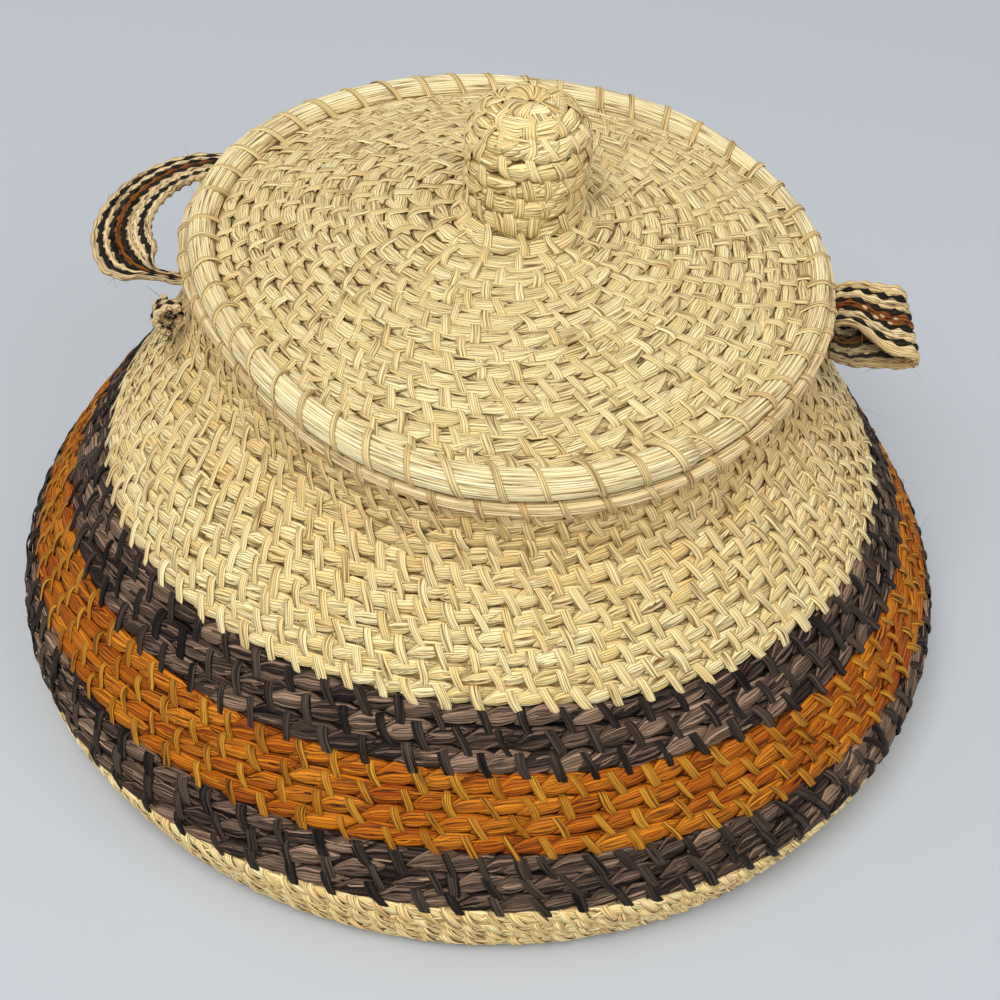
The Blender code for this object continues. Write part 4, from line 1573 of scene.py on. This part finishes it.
@dataclass
class Button:
    """The wrapped start of a coil: strips that swirl round a small hole."""

    name: str
    node: str
    slot: str
    body: str
    winding: Winding
    finish: StrandFinish
    strips: int
    sink: float
    seed: int
    hole: float = 0.0010
    overlap: float = 0.0006

    STRIP_VARY = (0.18, 0.05, 0.2, 1.0)
    STRIP_WIDTHS = ((0, 0.3, 1), (0.0010, 0.0024, 0.0038))
    SWIRL = 0.45
    SWIRL_VARY = 0.35
    RISE_VARY = 0.0002
    DISC_SHARES = (0.02, 0.25, 0.6, 0.97, 0.97, 0.6, 0.25, 0.02)
    DISC_TONE = (0.3, 0.6, 0.0)

    def edge(self, angle: Array) -> Array:
        """How far the swirl reaches at an angle: just under the coil's first turn."""
        turn = self.winding.way * (angle - self.winding.seam) / TAU % 1.0
        return self.winding.length_at(turn) + self.overlap

    def lay(self, batch: Batch, shape: Shape, side: Side, rng: Rng) -> None:
        """Lays the swirl.

        Args:
            batch: The mesh that takes it.
            shape: A strip's shape.
            side: The side that it lies on.
            rng: The source of the differences.
        """
        along, across, up = shape.axes()
        share = along + 0.5
        vary = varied(rng, self.STRIP_VARY, self.strips)
        base = (np.arange(self.strips) / self.strips * TAU)[:, None] + vary[0]
        reach = self.edge(base + self.SWIRL)
        radius = self.hole + (reach * (1 + vary[1]) - self.hole) * share
        width = np.interp(share, *self.STRIP_WIDTHS) * (1 + vary[2])
        width = width * (1 + (reach / self.edge(self.winding.seam) - 1) * share)
        swirl = (self.SWIRL + self.SWIRL_VARY * vary[3]) * share
        angle = base + swirl + across * width / np.maximum(radius, 0.0012)
        rise = -self.sink * (1 - smooth(share / 0.7)) - 0.0004 + up * 0.0006 + self.RISE_VARY * vary[3]
        rise = rise - 0.0012 * smooth((share - 0.85) / 0.15)
        if side is Side.INSIDE:
            rise = -self.winding.wall - rise
        away, height, out_away, out_height = self.winding.outline.read(radius)
        height = np.maximum(height + out_height * rise, 0.0)
        points = polar(angle, away + out_away * rise, height, self.winding.lean(radius))
        strand = strands(rng, (self.strips, 1, 2), share * 6, across * width * MILLI)
        tone = joined(rng.uniform(size=(self.strips, 1)), crowned(up), 0.3)
        outward_face = self.winding.outline.side * side.value > 0
        batch.add(shape.reversed() if outward_face else shape, points, strand, tone)

    def core(self, batch: Batch) -> None:
        """Lays the disc under the swirl, sunk at its middle.

        Args:
            batch: The mesh that takes it.
        """
        sinks = (self.sink + 0.0012, self.sink + 0.0007, 0.0014, 0.0016, 0.0034, 0.0036, 0.0036, 0.0036)
        around = ring(24).T
        radius = self.edge(around) * np.array(self.DISC_SHARES)[None, :]
        away, height, out_away, out_height = self.winding.outline.read(radius)
        rise = -np.array(sinks)[None, :]
        points = polar(around, away + out_away * rise, height + out_height * rise, self.winding.lean(radius))
        over = self.winding.outline.side > 0
        # The disc takes the darker hollow straw and half openness: painted shade under the swirl.
        batch.add_tube(points, joined(radius * MILLI, around * 4), self.DISC_TONE, 1, closed=True, over=over)

    def dress(self, dresser: Dresser) -> None:
        """Makes the button's piece.

        Args:
            dresser: What makes its materials and its object.
        """
        rng = np.random.default_rng(self.seed)
        batch = Batch()
        self.core(batch)
        for side in Side:
            self.lay(batch, dresser.shapes.strip, side, rng)
        dresser.piece(batch, self.name, [self.finish, HOLLOW_SHADE], self.slot, self.body, (self.node,))


# The striped straps


@dataclass
class Yarns:
    """Yarns laid side by side along a path, each in floats that swell and dive, as in a twined band."""

    colours: tuple[int, ...]
    float_length: float = 0.0058

    SIDES = 8
    SQUARENESS = 0.8
    BUNDLE = 0.0012
    BUNDLED_YARN = 0.0008
    HALF_WIDTH = 0.71
    HALF_DEEP = 0.0011
    DIVE = 0.00030
    INNER_SWELL = (0.20, 0.24)
    OUTER_SWELL = (0.08, 0.10)

    def lay(
        self, batch: Batch, centre: Array, across: Array, through: Array, width: Array, gathered: Array,
        worn: Array, seed: int,
    ) -> None:
        """Lays the yarns.

        Args:
            batch: The mesh that takes them; its materials are cream, black and rust.
            centre: The path's points.
            across: The band's direction across at each point.
            through: The band's direction through its thickness at each point.
            width: The band's width at each point.
            gathered: How far the band is gathered into a round bundle, 0 to 1.
            worn: How grey and mixed the yarns look at each point, 0 to 1.
            seed: The start of the random differences.
        """
        rng = np.random.default_rng(seed)
        steps = np.linalg.norm(np.diff(centre, axis=0), axis=1)
        along = np.concatenate(([0.0], np.cumsum(steps)))
        count = len(self.colours)
        corner = ring(self.SIDES)
        cosine = np.sign(np.cos(corner)) * np.abs(np.cos(corner)) ** self.SQUARENESS
        sine = np.sign(np.sin(corner)) * np.abs(np.sin(corner)) ** self.SQUARENESS
        inside_out = (np.cross(across, through)[:-1] * np.diff(centre, axis=0)).sum() < 0
        for yarn, colour in enumerate(self.colours):
            place = (yarn + 0.5) / count - 0.5
            drift = np.cumsum(rng.normal(size=len(along))) * 0.05
            beat = along / self.float_length * TAU + math.pi * (yarn % 2) + drift
            inner = min(yarn, count - 1 - yarn) > 0
            swell_share, wave_share = self.INNER_SWELL if inner else self.OUTER_SWELL
            swell = 1 + swell_share * np.cos(beat)
            wave = width / count * wave_share * np.sin(beat)
            dive = self.DIVE * np.cos(beat)
            turn = TAU * ((yarn * 5) % count) / count
            side_shift = (place * width + wave) * (1 - gathered) + self.BUNDLE * np.cos(turn) * gathered
            deep_shift = dive * (1 - gathered) + self.BUNDLE * np.sin(turn) * gathered
            half_width = width / count * self.HALF_WIDTH * swell * (1 - gathered) + self.BUNDLED_YARN * gathered
            half_deep = self.HALF_DEEP * (1 - gathered) + self.BUNDLED_YARN * gathered
            middle = centre + across * side_shift[:, None] + through * deep_shift[:, None]
            wide, deep = cosine * half_width[:, None], sine * half_deep[:, None]
            points = swept(middle, across, through, wide, deep)
            strand = strands(rng, 2, along[:, None] * MILLI, cosine * 1.1 + 0.25 * np.sin(beat)[:, None])
            # Openness dips where each float dives under the others, which paints shade there.
            tone = joined(rng.uniform(), 0.80 + 0.20 * np.cos(beat)[:, None], worn[:, None])
            batch.add_tube(points, strand, tone, colour, over=inside_out)


def outward(angle: float) -> Array:
    """The level direction that points away from the basket's axis at an angle."""
    return np.array((math.cos(angle), math.sin(angle), 0.0))


UP = np.array((0.0, 0.0, 1.0))


@dataclass
class Straps:
    """The two strap handles, their knots inside the wall, and the left one's tufted tail."""

    hinge_radius: float = 0.102654
    hinge_height: float = 0.1290
    knot_radius: float = 0.0881
    knot_height: float = 0.1258
    left_angle: float = math.radians(163.5)
    left_spread: float = math.radians(17.6)
    left_reach: float = 0.0234
    left_tilt: float = math.radians(12)
    left_width: float = 0.0186
    left_neck: float = 0.0070
    left_front_neck: float = 0.0036
    left_droop: float = 0.0004
    left_yarns: tuple[int, ...] = (0, 1, 0, 0, 1, 2, 1, 0, 1, 0)
    right_angle: float = math.radians(-1)
    right_tilt: float = math.radians(28)
    right_width: float = 0.0232
    right_neck: float = 0.0135
    inner_end: float = -0.012
    right_yarns: tuple[int, ...] = (0, 0, 1, 0, 0, 1, 2, 2, 1, 0, 0, 1, 0, 0)
    bend: float = 0.0049
    near: float = 0.0087
    far: float = 0.0168
    apart: float = 0.0052
    slant: float = 0.0024
    tail_angle: float = math.radians(187)
    knot_size: float = 0.00135
    knot_thick: float = 0.0014

    END_STEPS = 14
    LEG_STEPS = 56
    BEND_STEPS = 17
    WORN_FROM = 70
    WISPS = 60
    WISP_THICK = 0.00012

    def left_path(self) -> tuple[Array, ...]:
        """The left strap's points, directions, width, gathering and wear, from knot to knot.

        Returns:
            The points, the directions across and through, and the width, gathering and wear.
        """
        ahead = outward(self.left_angle)
        side = np.cross(UP, ahead)
        axis = self.hinge_radius * math.cos(self.left_spread)
        half_span = self.hinge_radius * math.sin(self.left_spread)
        root = axis + 0.0025
        turn = np.linspace(0, math.pi, 120)[:, None]
        bow = ahead * (root + self.left_reach * np.sin(turn)) + side * (half_span * np.cos(turn))
        bow = bow + UP * self.hinge_height
        ends = []
        for sign in (1, -1):
            angle = self.left_angle + sign * self.left_spread
            knot = Dresser.settle(outward(angle) * self.knot_radius + UP * self.knot_height, "basket")
            share = np.linspace(0, 1, self.END_STEPS, endpoint=False)[:, None]
            start = bow[0 if sign > 0 else -1]
            ends.append(knot * (1 - share) + start * share)
        centre = np.concatenate((ends[0], bow, ends[1][::-1]))
        flat_along = unit(np.gradient(centre, axis=0))
        away = unit(np.cross(UP, flat_along))
        across = away * math.cos(self.left_tilt) - UP * math.sin(self.left_tilt)
        across = unit(across - flat_along * np.sum(across * flat_along, axis=1, keepdims=True))
        through = np.cross(across, flat_along)
        no_end = np.zeros(self.END_STEPS)
        swell = np.concatenate((no_end, np.sin(turn[:, 0]), no_end))
        front = np.concatenate((no_end + 1, 1 - smooth(1.4 * turn[:, 0] / math.pi), no_end))
        neck = self.left_neck + (self.left_front_neck - self.left_neck) * front
        width = neck + (self.left_width - neck) * smooth(swell / (0.60 - 0.10 * front))
        droop = self.left_droop * front * (1 - smooth(swell / 0.55))
        droop[: self.END_STEPS] *= np.linspace(0, 1, self.END_STEPS)
        centre = centre - UP * droop[:, None]
        inside = np.linspace(0, 1, self.END_STEPS, endpoint=False)
        gathered = 1 - smooth(np.concatenate((inside, np.ones(len(bow)), inside[::-1])) / 0.5)
        return centre, across, through, width, gathered, 0.10 + 0 * width

    def right_path(self) -> tuple[Array, ...]:
        """The right strap's points, directions, width, gathering and wear, from root to root.

        Returns:
            The points, the directions across and through, and the width, gathering and wear.
        """
        ahead = outward(self.right_angle)
        wide = np.cross(UP, ahead) * math.cos(self.right_tilt) + UP * math.sin(self.right_tilt)
        lift = np.cross(ahead, wide)
        hinge = ahead * self.hinge_radius + UP * self.hinge_height
        leg = self.LEG_STEPS
        out = np.linspace(self.inner_end, self.far, leg)
        back = np.linspace(self.far, self.inner_end, leg)
        run = np.concatenate((out, np.zeros(self.BEND_STEPS), back))
        turn = np.linspace(math.pi / 2, -math.pi / 2, self.BEND_STEPS + 2)[1:-1]
        spread = self.bend * smooth((run + 0.003) / self.near)
        rise = np.concatenate((spread[:leg], self.bend * np.sin(turn), -spread[-leg:]))
        run[leg:-leg] = self.far + self.bend * np.cos(turn)
        swell = np.clip(run / self.far, 0, 1)
        slip = self.apart * np.sign(rise) * (1 - smooth(swell * 1.05))
        centre = hinge + ahead * run[:, None] + lift * rise[:, None] + wide * slip[:, None]
        along = unit(np.gradient(centre, axis=0))
        across = unit(wide - ahead * (2 * self.slant / self.right_width * swell)[:, None])
        through = unit(np.cross(along, across))
        width = self.right_neck + (self.right_width - self.right_neck) * smooth(swell * 1.05)
        gathered = 1 - smooth((run + 0.0090) / 0.0065)
        worn = 0.06 + 0.75 * smooth((np.arange(len(run)) - self.WORN_FROM) / 10)
        return centre, across, through, width, gathered, worn

    def band(
        self, dresser: Dresser, side: str, path: tuple[Array, ...], colours: tuple[int, ...],
    ) -> None:
        """Makes one strap, which rides on no body.

        Args:
            dresser: What makes its materials and its object.
            side: The side that it is on.
            path: Its points, directions, width, gathering and wear.
            colours: Its yarns' colours.
        """
        name = side + "_strap_band"
        batch = Batch()
        Yarns(colours).lay(batch, *path, seed=len(name))
        rng = np.random.default_rng(len(name) + 1)
        if colours == self.right_yarns:
            self.lay_floats(batch, path)
        for _ in range(self.WISPS):
            step = int(rng.integers(20, len(path[0]) - 20))
            place = rng.uniform(-0.5, 0.5)
            root = path[0][step] + path[1][step] * path[3][step] * place
            aim = unit(path[1][step] * np.sign(place) + path[2][step] * rng.normal() + rng.normal(size=3) * 0.5)
            lay_wisp(batch, root, aim, rng.uniform(0.0015, 0.0045), self.WISP_THICK, rng, int(rng.integers(0, 2)))
        made = dresser.piece(
            batch, name, [CREAM_YARN, BLACK_YARN, RUST_YARN], "strap_cord", None, (side + "_strap",)
        )
        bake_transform(made)

    def lay_floats(self, batch: Batch, path: tuple[Array, ...]) -> None:
        """Lays the short pale floats that show on the right strap's rust stripe.

        Args:
            batch: The mesh that takes them.
            path: The strap's points, directions and width.
        """
        centre, across, through, width = path[:4]
        around = ring(6)
        share = np.linspace(-1, 1, 5)[:, None]
        swell = 0.0006 * np.sqrt(1.05 - share**2)
        for number, step in enumerate((36, 42, 46, 50, 54)):
            place = -(number % 2) / len(self.right_yarns)
            along = unit(centre[step + 1] - centre[step - 1])
            middle = centre[step] + across[step] * width[step] * place + along * share * 0.0010
            raised = middle + through[step] * 0.0009
            wide, deep = np.cos(around) * swell, np.sin(around) * swell
            points = swept(raised, across[step][None, :], through[step][None, :], wide, deep)
            batch.add_tube(points, joined(share, around) + 20.0 * number, (0.4, 1.0, 0.0))

    def knot(self, dresser: Dresser, name: str, angle: float) -> None:
        """Ties one end of a strap inside the wall.

        Args:
            dresser: What makes its material and its object.
            name: The knot's node.
            angle: The angle round the basket.
        """
        ahead = outward(angle)
        middle = ahead * self.knot_radius + UP * self.knot_height
        side = np.cross(UP, ahead)
        turn = np.linspace(0, TAU, 72, endpoint=False)
        swing = (2 + np.cos(3 * turn)) * self.knot_size
        centre = middle + side * (swing * np.cos(2 * turn))[:, None] + UP * (swing * np.sin(2 * turn))[:, None]
        centre = centre + ahead * (self.knot_size * 1.1 * np.sin(3 * turn))[:, None]
        along = unit(np.roll(centre, -1, axis=0) - np.roll(centre, 1, axis=0))
        across = unit(np.cross(along, centre - middle + ahead * 1e-5))
        corner = ring(8)
        turn = turn[:, None]
        twist = np.cos(3 * corner + 20 * turn)
        thick = self.knot_thick * (1 + 0.12 * twist)
        points = swept(centre, across, np.cross(across, along), np.cos(corner) * thick, np.sin(corner) * thick)
        batch = Batch()
        strand = joined(turn * 12, corner * 1.5 + turn * 9)
        # Openness follows the twist, which paints shade in its grooves.
        batch.add_tube(points, strand, joined(0.5, 0.7 + 0.3 * twist, 0.2), closed=True, over=True)
        dresser.piece(batch, name + "_knot", [CREAM_YARN], "strap_cord", "basket", (name,))

    def tail(self, dresser: Dresser) -> None:
        """Curls the left strap's tail beside its front root and frays its end.

        Args:
            dresser: What makes its materials and its object.
        """
        ahead = outward(self.tail_angle)
        side = np.cross(UP, ahead)
        batch = Batch()
        loops = (
            ((0, 1, 0), 0.0022, 0.0050, 0.2),
            ((0, 1), -0.0020, 0.0040, -0.5),
            ((1, 0), 0.0002, 0.0032, -1.3),
        )
        for seed, (colours, shift, curl, lean) in enumerate(loops):
            turn = np.linspace(-0.55 * math.pi, 0.62 * math.pi, 46)[:, None] + lean
            way = ahead * np.cos(turn) + UP * np.sin(turn)
            centre = ahead * 0.1052 + UP * 0.1232 + side * shift + way * curl
            across = np.broadcast_to(side, centre.shape)
            flat = np.full(len(centre), 0.0012 * len(colours))
            Yarns(colours, float_length=0.0034).lay(
                batch, centre, across, way, flat, np.zeros(len(centre)), np.full(len(centre), 0.2), seed
            )
        rng = np.random.default_rng(77)
        for _ in range(90):
            sideways, higher = rng.uniform(-0.004, 0.004), rng.uniform(-0.006, 0.003)
            root = ahead * 0.1045 + side * sideways + UP * (0.1222 + higher)
            shares = rng.uniform(0.3, 1), rng.uniform(-0.8, 0.8), rng.uniform(-1.3, 0.3)
            aim = unit(ahead * shares[0] + side * shares[1] + UP * shares[2])
            lay_wisp(batch, root, aim, rng.uniform(0.0025, 0.0055), 0.00030, rng, int(rng.integers(0, 2)))
        yarns = [CREAM_YARN, BLACK_YARN]
        dresser.piece(batch, "left_strap_tail_tuft", yarns, "strap_cord", "basket", ("left_strap_tail",))

    def dress(self, dresser: Dresser) -> None:
        """Makes both straps, their knots and the tail.

        Args:
            dresser: What makes their materials and objects.
        """
        left_axis = self.hinge_radius * math.cos(self.left_spread)
        straps = (
            ("left", self.left_path(), self.left_yarns, self.left_angle, left_axis),
            ("right", self.right_path(), self.right_yarns, self.right_angle, self.hinge_radius),
        )
        for side, path, colours, angle, axis in straps:
            self.band(dresser, side, path, colours)
        self.knot(dresser, "left_strap_root_front", self.left_angle + self.left_spread)
        self.knot(dresser, "left_strap_root_back", self.left_angle - self.left_spread)
        self.knot(dresser, "right_strap_root", self.right_angle)
        self.tail(dresser)


def lay_wisp(
    batch: Batch, root: Array, aim: Array, reach: float, thick: float, rng: Rng, material: int = 0
) -> None:
    """Lays one loose fibre that curves away from its root.

    Args:
        batch: The mesh that takes it.
        root: Where it starts.
        aim: The way that it leaves.
        reach: Its length.
        thick: Its thickness.
        rng: The source of its curve.
        material: The number of its material.
    """
    share = np.linspace(0, 1, 7)[:, None]
    curl = rng.normal(size=3) * 0.55
    swirl = rng.normal(size=3) * 0.30
    centre = root + aim * reach * share + curl * reach * share**2 + swirl * reach * share**3
    along = unit(np.gradient(centre, axis=0))
    across = unit(np.cross(along, np.array((0.3, 0.5, 0.8))))
    corner = ring(3)
    half = thick / 2 * (1 - 0.7 * share)
    points = swept(centre, across, np.cross(along, across), np.cos(corner) * half, np.sin(corner) * half)
    points[..., 2] = np.maximum(points[..., 2], 0.0)
    strand = strands(rng, 2, share * reach * MILLI, corner)
    batch.add_tube(points, strand, (rng.uniform(), 1.0, 0.0), material)


def lay_wisps(dresser: Dresser, coil: Coil, count: int, seed: int) -> None:
    """Lays loose fibres over a length of coil.

    Args:
        dresser: What makes their material and their object.
        coil: The length of coil.
        count: How many are tried; those that would lie under the foot are left out.
        seed: The start of the random differences.
    """
    rng = np.random.default_rng(seed)
    batch = Batch()
    for _ in range(count):
        turn = rng.uniform(coil.first, coil.last)
        row = np.array(rng.uniform(0.1, 0.9))
        root, above, ahead = (
            coil.winding.place(np.array(turn + further), row, np.array(rise))
            for further, rise in ((0, -0.0006), (0, 0.004), (0.01, -0.0006))
        )
        aim = unit(unit(above - root) * rng.uniform(0.2, 0.6) + unit(ahead - root) * rng.choice((-1.0, 1.0)))
        if root[2] > 0.004:
            lay_wisp(batch, root, aim, rng.uniform(0.0020, 0.0052), 0.00012, rng)
    dresser.piece(batch, coil.name + "_wisps", [coil.bundle], coil.slot, coil.body)


# The studio


@dataclass
class Studio:
    """The floor, the lamps and the camera."""

    target: tuple[float, float, float] = (0.0, 0.0, 0.075)
    distance: float = 0.58507
    elevation: float = math.radians(42.45)
    roll: float = math.radians(4.04)
    focal: float = 1.7994
    sensor: float = 36.0
    shift: tuple[float, float] = (0.0075, -0.0745)
    floor_colour: Triple = (0.52, 0.55, 0.59)
    floor_height: float = -0.0006
    key_power: float = 29.5
    fill_power: float = 8.0
    world_power: float = 0.50

    def floor(self) -> None:
        """Lays a plain pale floor."""
        bpy.ops.object.select_all(action="DESELECT")
        bpy.ops.mesh.primitive_plane_add(size=12.0, location=(0, 0, self.floor_height))
        floor = bpy.context.object
        floor.name = "floor"
        made = bpy.data.materials.new("floor_paint")
        made.use_nodes = True
        shader = made.node_tree.nodes["Principled BSDF"]
        shader.inputs["Base Color"].default_value = (*self.floor_colour, 1.0)
        shader.inputs["Roughness"].default_value = 0.95
        shader.inputs["Specular IOR Level"].default_value = 0.1
        floor.data.materials.append(made)

    def lamp(self, name: str, place: tuple[float, float, float], size: float, power: float) -> None:
        """Hangs a soft square lamp that faces the basket.

        Args:
            name: The lamp's name.
            place: Where it hangs.
            size: Its side.
            power: Its power.
        """
        light = bpy.data.lights.new(name, "AREA")
        light.size = size
        light.energy = power
        made = bpy.data.objects.new(name, light)
        made.location = place
        aim = Vector(self.target) - Vector(place)
        made.rotation_euler = aim.to_track_quat("-Z", "Y").to_euler()
        bpy.context.collection.objects.link(made)

    def light(self) -> None:
        """Lights the basket softly, mostly from above on the left."""
        world = bpy.data.worlds.new("studio")
        world.use_nodes = True
        world.node_tree.nodes["Background"].inputs["Color"].default_value = (1.0, 1.0, 1.0, 1.0)
        world.node_tree.nodes["Background"].inputs["Strength"].default_value = self.world_power
        bpy.context.scene.world = world
        self.lamp("key", (-0.42, -0.92, 1.86), 1.1, self.key_power)
        self.lamp("fill", (1.2, -1.1, 1.4), 1.4, self.fill_power)

    def camera(self) -> None:
        """Sets the camera at the photograph's viewing angle."""
        ahead = Vector((0.0, math.cos(self.elevation), -math.sin(self.elevation)))
        right = Vector((1.0, 0.0, 0.0))
        up = Vector((0.0, math.sin(self.elevation), math.cos(self.elevation)))
        camera_right = right * math.cos(self.roll) + up * math.sin(self.roll)
        camera_up = up * math.cos(self.roll) - right * math.sin(self.roll)
        lens = bpy.data.cameras.new("camera")
        lens.sensor_width = self.sensor
        lens.lens = self.focal * self.sensor
        lens.shift_x, lens.shift_y = self.shift
        lens.clip_start = 0.01
        made = bpy.data.objects.new("camera", lens)
        turn = Matrix((camera_right, camera_up, -ahead)).transposed().to_4x4()
        made.matrix_world = Matrix.Translation(Vector(self.target) - ahead * self.distance) @ turn
        bpy.context.collection.objects.link(made)
        bpy.context.scene.camera = made

    def build(self) -> None:
        """Builds the whole studio."""
        bpy.context.scene.view_settings.view_transform = "Standard"
        self.camera()
        self.floor()
        self.light()


def main() -> None:
    """Builds the studio and dresses the basket."""
    logging.basicConfig(level=logging.INFO, format="%(message)s")
    Studio().build()
    dresser = Dresser()
    basket = Basket()
    lid = Lid()
    coils = {coil.name: coil for coil in basket.coils() + lid.coils()}
    for coil in coils.values():
        dresser.coil(coil)
    buttons = (
        Button(
            "base_button", "base_start", "natural_straw", "basket", basket.winding, NATURAL_STITCH, strips=17,
            sink=0.0004, seed=41,
        ),
        Button(
            "knob_button", "knob_start", "rim_straw", "lid", lid.winding, KNOB, strips=15, sink=0.0016, seed=42
        ),
    )
    for button in buttons:
        button.dress(dresser)
    strip = model_strip(12, 3)
    for rim in bound_rims():
        rim.dress(dresser, strip)
    Straps().dress(dresser)
    wisps = {"upper_dark": 130, "lower_dark": 70, "foot": 90, "wall": 60, "lid": 60}
    for seed, (name, count) in enumerate(wisps.items(), start=61):
        lay_wisps(dresser, coils[name], count, seed)


if __name__ == "__main__":
    main()
